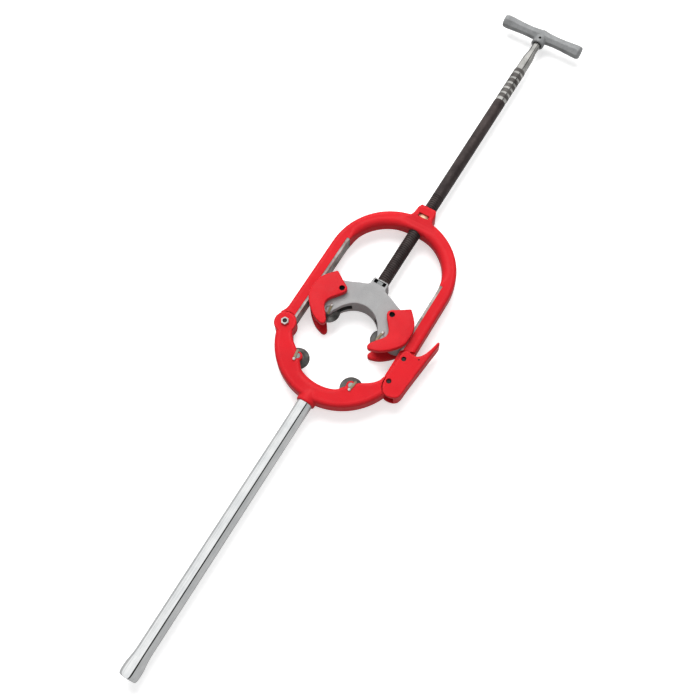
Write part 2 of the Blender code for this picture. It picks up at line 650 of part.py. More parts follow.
def stand_on_floor():
    """Move the parent empty so that the origin is at the bottom centre of everything built."""
    bpy.context.view_layer.update()
    depsgraph = bpy.context.evaluated_depsgraph_get()
    lows = Vector((1e9, 1e9, 1e9))
    highs = Vector((-1e9, -1e9, -1e9))
    for obj in part.objects:
        if obj.type != "MESH":
            continue
        evaluated = obj.evaluated_get(depsgraph)
        for vertex in evaluated.data.vertices:
            point = evaluated.matrix_world @ vertex.co
            lows = Vector(map(min, lows, point))
            highs = Vector(map(max, highs, point))
    base.location = (-(lows.x + highs.x) / 2, -(lows.y + highs.y) / 2, -lows.z)
    bpy.context.view_layer.update()


clear_scene()
part = new_collection("pipe_cutter")
cutters = new_collection("cutters")
base = bpy.data.objects.new("tool_frame", None)
part.objects.link(base)

upper_frame()
feed_nut()
feed_nut_screw()
hinge_bolt()
hinge_nut()
hinge_washer()
latch_pin("latch_pivot_pin", PIVOT)
latch_spring()
latch_lever()
lower_frame()
latch_pin("latch_catch_pin", CATCH)
handle_tube()
handle_set_screw()
for wheel_name, wheel_centre in wheel_places().items():
    cutter_wheel(wheel_name, wheel_centre)
    wheel_pin(wheel_name, wheel_centre)
    pin_clip(wheel_name, wheel_centre)
yoke()
for face_name, face_sign in (("front", 1), ("back", -1)):
    for side_name, side_sign in (("left", -1), ("right", 1)):
        guide_plate(f"guide_plate_{face_name}_{side_name}", side_sign, face_sign)
        plate_screw(f"plate_screw_{face_name}_{side_name}", side_sign, face_sign)
screw_keeper()
thrust_washer()
feed_screw()
t_handle()
t_handle_pin()
stand_on_floor()
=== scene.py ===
"""Looks of the hinged four-wheel pipe cutter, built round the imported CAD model.

Shapes are given in millimetres in the tool's own frame: X from the hinge to the latch, Y along the
feed screw, Z out of the front face. ORIGIN moves them into the row frame, and is read from CAD boxes.
"""
import json
from math import atan2, cos, degrees, pi, radians, sin, sqrt

import bmesh
import bpy
from mathutils import Matrix, Vector

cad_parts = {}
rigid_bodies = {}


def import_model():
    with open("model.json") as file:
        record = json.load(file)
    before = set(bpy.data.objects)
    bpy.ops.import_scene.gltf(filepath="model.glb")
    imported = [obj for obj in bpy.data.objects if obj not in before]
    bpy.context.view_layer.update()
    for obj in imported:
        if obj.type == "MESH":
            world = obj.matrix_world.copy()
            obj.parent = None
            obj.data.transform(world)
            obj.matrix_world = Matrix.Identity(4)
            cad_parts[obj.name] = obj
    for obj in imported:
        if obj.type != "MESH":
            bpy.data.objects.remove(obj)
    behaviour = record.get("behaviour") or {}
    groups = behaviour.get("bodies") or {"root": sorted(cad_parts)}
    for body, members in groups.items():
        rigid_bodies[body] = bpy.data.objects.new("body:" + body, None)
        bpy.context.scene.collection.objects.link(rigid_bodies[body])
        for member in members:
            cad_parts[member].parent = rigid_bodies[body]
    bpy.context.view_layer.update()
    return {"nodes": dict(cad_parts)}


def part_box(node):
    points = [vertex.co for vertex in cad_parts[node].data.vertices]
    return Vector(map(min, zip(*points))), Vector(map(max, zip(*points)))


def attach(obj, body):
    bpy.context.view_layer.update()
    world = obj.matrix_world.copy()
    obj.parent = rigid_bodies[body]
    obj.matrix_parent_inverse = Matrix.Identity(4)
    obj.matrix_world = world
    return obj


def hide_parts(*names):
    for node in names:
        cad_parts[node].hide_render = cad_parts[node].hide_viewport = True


for old in list(bpy.data.objects):
    bpy.data.objects.remove(old, do_unlink=True)

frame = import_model()

MM = 0.001
SCREW_TIP = 111.3


def tool_origin():
    left_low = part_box("lower_left_wheel")[0]
    left_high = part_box("lower_left_wheel")[1]
    right_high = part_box("lower_right_wheel")[1]
    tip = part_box("feed_screw")[0].y
    return Vector(((left_low.x + right_high.x) / 2, tip - SCREW_TIP * MM, (left_low.z + left_high.z) / 2))


ORIGIN = tool_origin()

# Castings
FRAME_HALF = 15.0
RAIL_HALF = 14.0
LEG_OUT = 115.7
LEG_IN = 91.2
RAIL_IN = 96.0
RAIL_TOP = 172.0
CROWN_Y = 158.0
CROWN_IN_Y = 87.0
JAW_IN = 86.3
JAW_OUT = 116.2
JAW_OUT_Y = -2.45
SPLIT_Y = -20.0
HINGE = (-104.0, -20.5)
EYE_R = 19.5
TONGUE_HALF = 7.5
LUG_HALF = 10.0
PIVOT = (105.0, 22.0)
CATCH = (103.0, -24.5)
LEVER_HALF = 15.7
LEVER_EYE_R = 16.3
LATCH_PIN_R = 4.0
WHEEL_R = 19.8
WHEEL_X = 52.5
LOWER_WHEEL_Y = -62.6
UPPER_WHEEL_Y = 37.5
SLOT_HALF = 7.0
PIN_R = 4.75
YOKE_HALF = 17.5
PAD_HALF = 15.7
SHOE_X = 90.5
ARCH_X = 45.0
ARCH_RISE = 50.0
ARCH_Y = 22.5
BOSS_TOP = 129.0
PLATE_LOW = 16.0
PLATE_HIGH = 26.4
PLATE_SCREW = (49.6, 78.5)
SCREW_R = 11.2
NECK_R = 6.2
RING_YS = (573.0, 587.3, 600.3, 613.3, 626.3, 640.3)
NECK_Y = 650.5
NUT_R = 14.7
NUT_HIGH = 289.5
HEAD_TOP = 296.5
HEAD_HALF = 18.0
NUT_SCREW_Y = 284.0
T_Y = 747.0
T_HALF = 81.5
TUBE_R = 13.35
TUBE_BORE = 10.5
TUBE_TOP = -94.0
TUBE_END = -630.0
GAP = 0.3
THREAD_PITCH = 25.4 / 6


# ---------------------------------------------------------------- materials

class Look:
    """Small helper round one node tree: Object coordinates in metres, noise, ramps and bumps."""

    def __init__(self, name):
        self.material = bpy.data.materials.new(name)
        self.material.use_nodes = True
        self.tree = self.material.node_tree
        self.shader = self.tree.nodes["Principled BSDF"]
        self.where = self.tree.nodes.new("ShaderNodeTexCoord").outputs["Object"]

    def link(self, source, target):
        self.tree.links.new(source, target)

    def set(self, **values):
        for key, value in values.items():
            self.shader.inputs[key.replace("_", " ")].default_value = value
        return self

    def stretched(self, scale):
        node = self.tree.nodes.new("ShaderNodeMapping")
        node.inputs["Scale"].default_value = scale
        self.link(self.where, node.inputs["Vector"])
        return node.outputs["Vector"]

    def noise(self, scale, detail=3.0, rough=0.5, stretch=None):
        node = self.tree.nodes.new("ShaderNodeTexNoise")
        node.inputs["Scale"].default_value = scale
        node.inputs["Detail"].default_value = detail
        node.inputs["Roughness"].default_value = rough
        self.link(self.stretched(stretch) if stretch else self.where, node.inputs["Vector"])
        return node.outputs["Fac"]

    def ramp(self, source, *stops):
        node = self.tree.nodes.new("ShaderNodeValToRGB")
        while len(node.color_ramp.elements) < len(stops):
            node.color_ramp.elements.new(0.5)
        for element, (position, colour) in zip(node.color_ramp.elements, stops):
            element.position = position
            element.color = (*colour, 1.0) if hasattr(colour, "__len__") else (colour, colour, colour, 1.0)
        self.link(source, node.inputs["Fac"])
        return node.outputs["Color"]

    def mix(self, amount, first, second, blend="MIX"):
        node = self.tree.nodes.new("ShaderNodeMix")
        node.data_type = "RGBA"
        node.blend_type = blend
        if hasattr(amount, "node"):
            self.link(amount, node.inputs["Factor"])
        else:
            node.inputs["Factor"].default_value = amount
        for socket, value in ((node.inputs["A"], first), (node.inputs["B"], second)):
            if hasattr(value, "node"):
                self.link(value, socket)
            else:
                socket.default_value = (*value, 1.0)
        return node.outputs["Result"]

    def bump(self, source, distance, strength=1.0, over=None):
        node = self.tree.nodes.new("ShaderNodeBump")
        node.inputs["Strength"].default_value = strength
        node.inputs["Distance"].default_value = distance * MM
        self.link(source, node.inputs["Height"])
        if over is not None:
            self.link(over, node.inputs["Normal"])
        self.link(node.outputs["Normal"], self.shader.inputs["Normal"])
        return node.outputs["Normal"]

    def colour(self, source):
        self.link(source, self.shader.inputs["Base Color"])

    def roughness(self, source):
        self.link(source, self.shader.inputs["Roughness"])

    def height(self, axis):
        """One object coordinate, in metres."""
        node = self.tree.nodes.new("ShaderNodeSeparateXYZ")
        self.link(self.where, node.inputs["Vector"])
        return node.outputs[axis]


def enamel(name, red, deep):
    """Thick gloss enamel over a rough casting."""
    look = Look(name)
    look.set(IOR=1.45, Specular_IOR_Level=0.22)
    patches = look.ramp(look.noise(14.0, 3.0), (0.30, deep), (0.70, red))
    specks = look.ramp(look.noise(900.0, 2.0), (0.30, 0.82), (0.42, 1.0))
    look.colour(look.mix(1.0, patches, specks, "MULTIPLY"))
    look.roughness(look.ramp(look.noise(60.0, 4.0), (0.30, 0.30), (0.70, 0.46)))
    skin = look.bump(look.noise(140.0, 3.0), 0.35, 0.35)
    look.bump(look.noise(650.0, 2.0), 0.08, 0.35, skin)
    return look.material


def silver_paint(name):
    """Satin silver-grey paint over a casting."""
    look = Look(name)
    look.set(IOR=1.45, Specular_IOR_Level=0.3)
    patches = look.ramp(look.noise(22.0, 3.0), (0.30, (0.300, 0.298, 0.300)), (0.70, (0.365, 0.362, 0.362)))
    specks = look.ramp(look.noise(1100.0, 2.0), (0.28, 0.72), (0.44, 1.0))
    look.colour(look.mix(1.0, patches, specks, "MULTIPLY"))
    look.roughness(look.ramp(look.noise(80.0, 4.0), (0.30, 0.38), (0.70, 0.55)))
    skin = look.bump(look.noise(170.0, 3.0), 0.30, 0.4)
    look.bump(look.noise(800.0, 2.0), 0.07, 0.4, skin)
    return look.material


def bare_metal(name, dark, light, low, high, lines=(1.0, 1.0, 1.0), line_scale=900.0, depth=0.03, metal=1.0):
    """Machined or plated metal: fine lines along one direction, with stains and uneven gloss."""
    look = Look(name)
    look.set(Metallic=metal)
    stain = look.ramp(look.noise(45.0, 5.0, 0.6), (0.32, dark), (0.62, light))
    grain = look.noise(line_scale, 2.0, 0.5, lines)
    tone = look.ramp(grain, (0.30, 0.86), (0.70, 1.0))
    look.colour(look.mix(1.0, stain, tone, "MULTIPLY"))
    look.roughness(look.ramp(look.noise(70.0, 4.0), (0.30, low), (0.70, high)))
    look.bump(grain, depth, 0.5)
    return look.material


def ringed_metal(name, dark, light, low, high, centre=None, axis="Z", depth=0.02, pitch=0.35, metal=1.0):
    """Turned metal: fine tool rings round the axis through a point in the tool's frame."""
    look = Look(name)
    look.set(Metallic=metal)
    shift = look.tree.nodes.new("ShaderNodeMapping")
    middle = ORIGIN + Vector((*(centre or (0, 0)), 0)) * MM
    shift.inputs["Location"].default_value = -middle
    look.link(look.where, shift.inputs["Vector"])
    wave = look.tree.nodes.new("ShaderNodeTexWave")
    wave.wave_type = "RINGS"
    wave.rings_direction = axis
    wave.inputs["Scale"].default_value = 1 / (pitch * MM) / 20
    wave.inputs["Distortion"].default_value = 1.2
    wave.inputs["Detail"].default_value = 2.0
    look.link(shift.outputs["Vector"], wave.inputs["Vector"])
    stain = look.ramp(look.noise(60.0, 5.0, 0.6), (0.30, dark), (0.66, light))
    tone = look.ramp(wave.outputs["Fac"], (0.0, 0.88), (1.0, 1.0))
    look.colour(look.mix(1.0, stain, tone, "MULTIPLY"))
    look.roughness(look.ramp(look.noise(90.0, 4.0), (0.30, low), (0.70, high)))
    look.bump(wave.outputs["Fac"], depth, 0.4)
    return look.material


def recess_shaded_metal(name, clean, shaded, low, high):
    """Steel that is clean at its front end and near black below, between two levels of Z: painted shade down
    in the recess.
    """
    look = Look(name)
    look.set(Metallic=0.6)
    level = look.height("Z")
    reach = look.tree.nodes.new("ShaderNodeMapRange")
    reach.inputs["From Min"].default_value = ORIGIN.z + low * MM
    reach.inputs["From Max"].default_value = ORIGIN.z + high * MM
    look.link(level, reach.inputs["Value"])
    tone = look.ramp(look.noise(500.0, 3.0), (0.30, 0.75), (0.65, 1.0))
    look.colour(look.mix(1.0, look.mix(reach.outputs["Result"], shaded, clean), tone, "MULTIPLY"))
    look.roughness(look.ramp(look.noise(90.0, 4.0), (0.30, 0.35), (0.70, 0.55)))
    look.bump(look.noise(700.0, 2.0), 0.03, 0.5)
    return look.material


RED = enamel("red_enamel", (0.640, 0.0125, 0.0195), (0.540, 0.0100, 0.0165))
SILVER = silver_paint("silver_paint")
MACHINED = bare_metal("machined_iron", (0.16, 0.125, 0.105), (0.52, 0.49, 0.47), 0.34, 0.55,
                      (1.0, 0.06, 1.0), 1400.0, metal=0.6)
# Near black on the walls of wheel slots, holes and the tube's bore: painted shade in the pockets.
POCKET_SHADOW = bare_metal("pocket_shadow", (0.020, 0.018, 0.018), (0.050, 0.045, 0.045), 0.5, 0.7, metal=0.2)
# Dark reddish brown inside the bores of the castings and lever: painted shade in the holes.
BORE_SHADE = bare_metal("bored_iron_shade", (0.035, 0.018, 0.018), (0.085, 0.05, 0.048), 0.4, 0.6, metal=0.5)
CHROME = bare_metal("bright_plate", (0.80, 0.82, 0.83), (0.92, 0.93, 0.93), 0.05, 0.10, (1.0, 0.02, 1.0),
                    500.0, 0.006)
BLACK = bare_metal("black_oxide_shank", (0.034, 0.026, 0.026), (0.072, 0.056, 0.054), 0.38, 0.56,
                   (1.0, 0.05, 1.0), 500.0, 0.03, 0.6)
WORN = bare_metal("worn_oxide", (0.085, 0.078, 0.074), (0.19, 0.18, 0.17), 0.34, 0.5, (1.0, 6.0, 1.0),
                  300.0, 0.03, 0.8)
BLACK_SCREW = bare_metal("black_oxide_screw", (0.008, 0.008, 0.008), (0.022, 0.021, 0.021), 0.34, 0.5,
                         metal=0.8)
RING = bare_metal("bright_turned_ring", (0.42, 0.42, 0.40), (0.70, 0.69, 0.66), 0.13, 0.24, (1.0, 6.0, 1.0),
                  300.0, 0.015)
FORGED = bare_metal("plated_forging", (0.215, 0.22, 0.222), (0.31, 0.317, 0.32), 0.34, 0.46,
                    (1.0, 1.0, 1.0), 420.0, 0.08, 0.3)
PLATED = bare_metal("zinc_fastener", (0.62, 0.61, 0.58), (0.84, 0.82, 0.79), 0.22, 0.34, (1.0, 1.0, 1.0),
                    800.0)
OILED = bare_metal("oiled_pin", (0.030, 0.024, 0.024), (0.085, 0.075, 0.07), 0.30, 0.45, (1.0, 1.0, 1.0),
                   900.0)
CHROMATE = bare_metal("yellow_chromate", (0.20, 0.16, 0.10), (0.42, 0.36, 0.25), 0.34, 0.50,
                      (1.0, 1.0, 1.0), 700.0)
BRONZE = ringed_metal("turned_bronze", (0.80, 0.50, 0.30), (1.0, 0.76, 0.52), 0.26, 0.42, axis="Y",
                      metal=0.55)
# The keeper's steel turns near black below 12.6 mm: painted shade down in the frame's recess.
KEEPER_SHADED = recess_shaded_metal("keeper_steel_shaded", (0.30, 0.31, 0.31), (0.012, 0.011, 0.011), 12.6, 14.2)
SPRING = bare_metal("spring_steel", (0.14, 0.14, 0.14), (0.34, 0.34, 0.33), 0.28, 0.42)
GROUND = bare_metal("ground_steel", (0.26, 0.26, 0.26), (0.50, 0.50, 0.49), 0.26, 0.40)


# ---------------------------------------------------------------- meshes

def arc(centre, radius, start, end, steps):
    points = []
    for step in range(steps + 1):
        turn = radians(start + (end - start) * step / steps)
        points.append((centre[0] + radius * cos(turn), centre[1] + radius * sin(turn)))
    return points


def oval(centre, half_x, half_y, start, end, steps):
    return [(centre[0] + half_x * x, centre[1] + half_y * y) for x, y in arc((0, 0), 1, start, end, steps)]


def flip(points):
    return [(-x, y) for x, y in points]


def run(points, step=1.5):
    """A smooth line through points, sampled finely: its two ends stay corners."""
    ends = [tuple(2 * a - b for a, b in zip(points[0], points[1])),
            tuple(2 * a - b for a, b in zip(points[-1], points[-2]))]
    line = [Vector(p) for p in [ends[0], *points, ends[1]]]
    found = []
    for p0, p1, p2, p3 in zip(line, line[1:], line[2:], line[3:]):
        t1 = sqrt((p1 - p0).length)
        t2 = t1 + sqrt((p2 - p1).length)
        t3 = t2 + sqrt((p3 - p2).length)
        count = max(1, round((p2 - p1).length / step))
        for index in range(count):
            t = t1 + (t2 - t1) * index / count
            a1 = p0 * ((t1 - t) / t1) + p1 * (t / t1)
            a2 = p1 * ((t2 - t) / (t2 - t1)) + p2 * ((t - t1) / (t2 - t1))
            a3 = p2 * ((t3 - t) / (t3 - t2)) + p3 * ((t - t2) / (t3 - t2))
            b1 = a1 * ((t2 - t) / t2) + a2 * (t / t2)
            b2 = a2 * ((t3 - t) / (t3 - t1)) + a3 * ((t - t1) / (t3 - t1))
            found.append(tuple(b1 * ((t2 - t) / (t2 - t1)) + b2 * ((t - t1) / (t2 - t1))))
    return found + [tuple(points[-1])]


def degrees_of(side, radius):
    return degrees(atan2(sqrt(radius * radius - side * side), side))


def polar(centre, radius, turn):
    return centre[0] + radius * cos(radians(turn)), centre[1] + radius * sin(radians(turn))


def without_doubles(points):
    kept = []
    for point in points:
        if not kept or (Vector(point) - Vector(kept[-1])).length > 0.02:
            kept.append(point)
    if (Vector(kept[0]) - Vector(kept[-1])).length < 0.02:
        kept.pop()
    return kept


def to_mesh(shape):
    bmesh.ops.recalc_face_normals(shape, faces=shape.faces)
    mesh = bpy.data.meshes.new("shape")
    shape.to_mesh(mesh)
    shape.free()
    return mesh


def slab(points, low, high, radius=0.0, segments=4):
    """A flat outline between two levels, in millimetres. radius rounds both rims,
    or gives each side's rounding."""
    points = without_doubles(points)
    shape = bmesh.new()
    rings = [[shape.verts.new((x, y, z)) for x, y in points] for z in (low, high)]
    count = len(points)
    for index in range(count):
        other = (index + 1) % count
        shape.faces.new((rings[0][index], rings[0][other], rings[1][other], rings[1][index]))
    shape.faces.new(rings[0])
    shape.faces.new(rings[1])
    bmesh.ops.recalc_face_normals(shape, faces=shape.faces)
    if not hasattr(radius, "__call__"):
        if radius:
            rims = [e for e in shape.edges if abs(e.verts[0].co.z - e.verts[1].co.z) < 0.01]
            bmesh.ops.bevel(shape, geom=rims, offset=radius, segments=segments, profile=0.5, affect="EDGES",
                            clamp_overlap=True)
        return to_mesh(shape)
    weight = shape.edges.layers.float.new("bevel_weight_edge")
    most = 14.0
    for edge in shape.edges:
        if abs(edge.verts[0].co.z - edge.verts[1].co.z) < 0.01:
            middle = (edge.verts[0].co + edge.verts[1].co) / 2
            edge[weight] = min(1.0, radius(middle.x, middle.y) / most)
    holder = bpy.data.objects.new("rounded", to_mesh(shape))
    bpy.context.scene.collection.objects.link(holder)
    bevel = holder.modifiers.new("rounded", "BEVEL")
    bevel.width = most
    bevel.segments = segments
    bevel.limit_method = "WEIGHT"
    bevel.use_clamp_overlap = False
    mesh = settled(holder)
    bpy.data.objects.remove(holder, do_unlink=True)
    return mesh


def settled(obj):
    """A copy of the object's mesh with its modifiers applied."""
    bpy.context.view_layer.update()
    evaluated = obj.evaluated_get(bpy.context.evaluated_depsgraph_get())
    return bpy.data.meshes.new_from_object(evaluated)


STAND = {"Z": Matrix(), "Y": Matrix.Rotation(radians(-90), 4, "X"), "X": Matrix.Rotation(radians(90), 4, "Y")}


def turned(profile, sides=64, axis="Z", point=(0, 0, 0), closed=False, turn=0.0):
    """(radius, height) points from the top down the outer side, spun about an axis.
    A closed profile has a bore."""
    shape = bmesh.new()
    rings = []
    for radius, height in profile:
        if radius < 1e-6:
            rings.append([shape.verts.new((0, 0, height))])
        else:
            rings.append([shape.verts.new((radius * cos(2 * pi * i / sides),
                                           radius * sin(2 * pi * i / sides), height))
                          for i in range(sides)])
    pairs = list(zip(rings, rings[1:]))
    if closed:
        pairs.append((rings[-1], rings[0]))
    for upper, lower in pairs:
        for i in range(sides):
            j = (i + 1) % sides
            corners = [upper[i % len(upper)], upper[j % len(upper)], lower[j % len(lower)],
                       lower[i % len(lower)]]
            unique = [c for n, c in enumerate(corners) if c not in corners[:n]]
            if len(unique) > 2:
                shape.faces.new(unique)
    mesh = to_mesh(shape)
    mesh.transform(Matrix.Translation(Vector(point)) @ STAND[axis] @ Matrix.Rotation(radians(turn), 4, "Z"))
    return mesh


def rod(point, radius, low, high, axis="Z", sides=48, tip=None, turn=0.0, edge=0.0):
    """A round bar or cone through a point between two levels along an axis, with its rims rounded by edge."""
    end = radius if tip is None else tip
    profile = [(0, high)]
    if edge:
        profile += [(end - edge + edge * sin(a * pi / 8),
                     high - edge + edge * cos(a * pi / 8)) for a in range(5)]
        profile += [(radius - edge + edge * cos(a * pi / 8),
                     low + edge - edge * sin(a * pi / 8)) for a in range(5)]
    else:
        profile += [(end, high), (radius, low)]
    profile.append((0, low))
    place_at = [0 if letter == axis else value for letter, value in zip("XYZ", point)]
    return turned(profile, sides, axis, place_at, turn=turn)


def block(low, high):
    shape = bmesh.new()
    bmesh.ops.create_cube(shape, size=1.0)
    bmesh.ops.scale(shape, vec=[b - a for a, b in zip(low, high)], verts=shape.verts)
    bmesh.ops.translate(shape, vec=[(a + b) / 2 for a, b in zip(low, high)], verts=shape.verts)
    return to_mesh(shape)


def both_faces(points, low, high):
    return slab(points, low, high), slab(points, -high, -low)


def across(points, low, high):
    """A flat outline given by XZ points, filled between two levels of Y."""
    mesh = slab([(x, -z) for x, z in points], low, high)
    mesh.transform(Matrix.Rotation(radians(-90), 4, "X"))
    return mesh


def joined(meshes):
    shape = bmesh.new()
    for mesh in meshes:
        shape.from_mesh(mesh)
    mesh = bpy.data.meshes.new("joined")
    shape.to_mesh(mesh)
    shape.free()
    return mesh


def blended(meshes, voxel=1.0, passes=8):
    """Overlapping solids run together into one skin, with their meeting lines softened as in a casting."""
    holder = bpy.data.objects.new("blend", joined(meshes))
    bpy.context.scene.collection.objects.link(holder)
    remesh = holder.modifiers.new("skin", "REMESH")
    remesh.mode = "VOXEL"
    remesh.voxel_size = voxel
    soften = holder.modifiers.new("soften", "SMOOTH")
    soften.factor = 0.5
    soften.iterations = passes
    mesh = settled(holder)
    bpy.data.objects.remove(holder, do_unlink=True)
    return mesh


def machined(mesh, cutters, skin=None):
    """The mesh with cutters taken out of it: each cutter is (mesh, material),
    and its faces take that material."""
    holder = bpy.data.objects.new("casting", mesh)
    bpy.context.scene.collection.objects.link(holder)
    if skin is not None:
        mesh.materials.clear()
        mesh.materials.append(skin)
    group = bpy.data.collections.new("cutters")
    bpy.context.scene.collection.children.link(group)
    for cutter, material in cutters:
        cutter.materials.clear()
        cutter.materials.append(material)
        obj = bpy.data.objects.new("cutter", cutter)
        group.objects.link(obj)
    modifier = holder.modifiers.new("cut", "BOOLEAN")
    modifier.operation = "DIFFERENCE"
    modifier.solver = "EXACT"
    modifier.operand_type = "COLLECTION"
    modifier.collection = group
    modifier.material_mode = "TRANSFER"
    made = settled(holder)
    for obj in list(group.objects):
        bpy.data.objects.remove(obj, do_unlink=True)
    bpy.data.collections.remove(group)
    bpy.data.objects.remove(holder, do_unlink=True)
    return made


def piece(name, mesh, body, nodes, material=None, smooth=35.0):
    """Put a mesh made in the tool's frame into the scene as one visible piece."""
    if material is not None:
        mesh.materials.clear()
        mesh.materials.append(material)
    mesh.transform(Matrix.Translation(ORIGIN) @ Matrix.Scale(MM, 4))
    obj = bpy.data.objects.new(name, mesh)
    bpy.context.scene.collection.objects.link(obj)
    mesh.shade_smooth()
    mesh.set_sharp_from_angle(angle=radians(smooth))
    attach(obj, body)
    if nodes:
        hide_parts(*nodes)


# ---------------------------------------------------------------- frame casting

def frame_rounding(x, y):
    """How far each part of the upper frame's rims is rounded."""
    inner = abs(x) < LEG_IN + 0.5 and (
        y < CROWN_Y + 1 or (x / LEG_IN) ** 2 + ((y - CROWN_Y) / CROWN_IN_Y) ** 2 < 1.05)
    if y < SPLIT_Y + 0.5:
        return 0.8
    if not inner:
        return 6.0
    rise = max(0.0, min(1.0, (y - RAIL_TOP - 1) / 22.0))
    bore = max(0.0, min(1.0, (abs(x) - 13) / 20))
    return 0.7 + 11.3 * rise * rise * (3 - 2 * rise) * (0.45 + 0.55 * bore)


def frame_casting():
    outline = arc((0, CROWN_Y), LEG_OUT, 0, 180, 110) + [(-LEG_OUT, HINGE[1]), (-LEG_IN, HINGE[1])]
    outline += oval((0, CROWN_Y), LEG_IN, CROWN_IN_Y, 180, 0, 100)
    outline += [(LEG_IN, SPLIT_Y), (LEG_OUT, SPLIT_Y)]
    body = slab(outline, -FRAME_HALF, FRAME_HALF, frame_rounding, 6)
    top = HEAD_HALF - 3.5
    upper = [(20.0, 270), (18.9, 276), (HEAD_HALF, 288), (top, HEAD_TOP)]
    foot = [(34, 255), (29, 261), (25, 264.5), (22, 267.5), (20.3, 270.5)]
    head = [slab(upper + flip(upper[::-1]), -HEAD_HALF, HEAD_HALF, 3.0)]
    for step, (corner, inner) in enumerate(zip(foot, foot[1:])):
        stage = [corner, inner, (inner[0] - 1, inner[1] + 4)]
        half = FRAME_HALF + 0.2 + (HEAD_HALF - FRAME_HALF) * (step + 0.5) / len(foot)
        head.append(slab(stage + flip(stage[::-1]), -half, half, 1.5))
    eye = rod((*HINGE, 0), EYE_R - GAP, -FRAME_HALF, FRAME_HALF, sides=96, edge=1.0)
    web = slab([(-112, 16), (-115.4, 13), (-116.6, 4), (-119.0, -1.5), (-122.0, -6.5), (-119.5, -9),
                (-110, -4)], -12.6, 12.6, 2.5)
    skin = blended([body, eye, web, *head])
    rail = [(-RAIL_IN, -12), (-80, -12), (-80, RAIL_TOP), (-RAIL_IN, RAIL_TOP)]
    fork = arc(HINGE, EYE_R + 0.22, 0, 350, 70)
    lever = arc(PIVOT, LEVER_EYE_R + 0.22, 180, 84, 24)
    lever += [polar(PIVOT, 18.6, 76), polar(PIVOT, 20.6, 70), polar(PIVOT, 22.7, 64.5),
              polar(PIVOT, 25.4, 60)]
    lever += [(140, 50), (140, -60), (88.2, -60)]
    skim = block((-LEG_IN - 0.15, -12, -13.9), (LEG_IN + 0.15, RAIL_TOP - 1, 13.9))
    cutters = [(m, MACHINED) for m in (*both_faces(rail, RAIL_HALF, 30),
                                       *both_faces(flip(rail), RAIL_HALF, 30), skim)]
    cutters += [(m, RED) for m in (*both_faces(fork, TONGUE_HALF, 30), *both_faces(lever, LUG_HALF, 30))]
    cutters += [(m, BORE_SHADE) for m in (
        rod((*CATCH, 0), 10.5, -20, 20), rod((*HINGE, 0), 5.2, -20, 20),
        rod((*PIVOT, 0), LATCH_PIN_R + GAP, -20, 20),
        rod((*PIVOT, 0), 8.2, -20, -3.2), rod((0, 0, 0), SCREW_R + 1.0, 230, 262, "Y"),
        rod((0, 0, 0), NUT_R + GAP, 257.4, NUT_HIGH + GAP, "Y"),
        rod((0, 0, 0), SCREW_R + 0.8, 280, 310, "Y"), rod((0, NUT_SCREW_Y, 0), 2.7, -30, -10, "X"))]
    cutters.append((slab([(-9.8, 271.8), (9.8, 271.8), (9.8, 279.4), (-9.8, 279.4)], 10.0, 30.0), RED))
    piece("frame_casting", machined(skin, cutters, RED), "frame", ["upper_frame"])


# ---------------------------------------------------------------- jaw casting

def jaw_rounding(x, y):
    from_middle = sqrt(x * x + (y - JAW_OUT_Y) ** 2)
    if (Vector((x, y)) - Vector(HINGE)).length < EYE_R + 1:
        return 2.0
    if y > SPLIT_Y - 1:
        return 0.8
    if from_middle > 105:
        return 6.5
    lug = min((Vector((x, y)) - Vector((side * WHEEL_X, LOWER_WHEEL_Y))).length for side in (-1, 1))
    ease = max(0.0, min(1.0, (lug - 16) / 22))
    return 4.0 + 6.5 * ease if y < -66 else 4.0


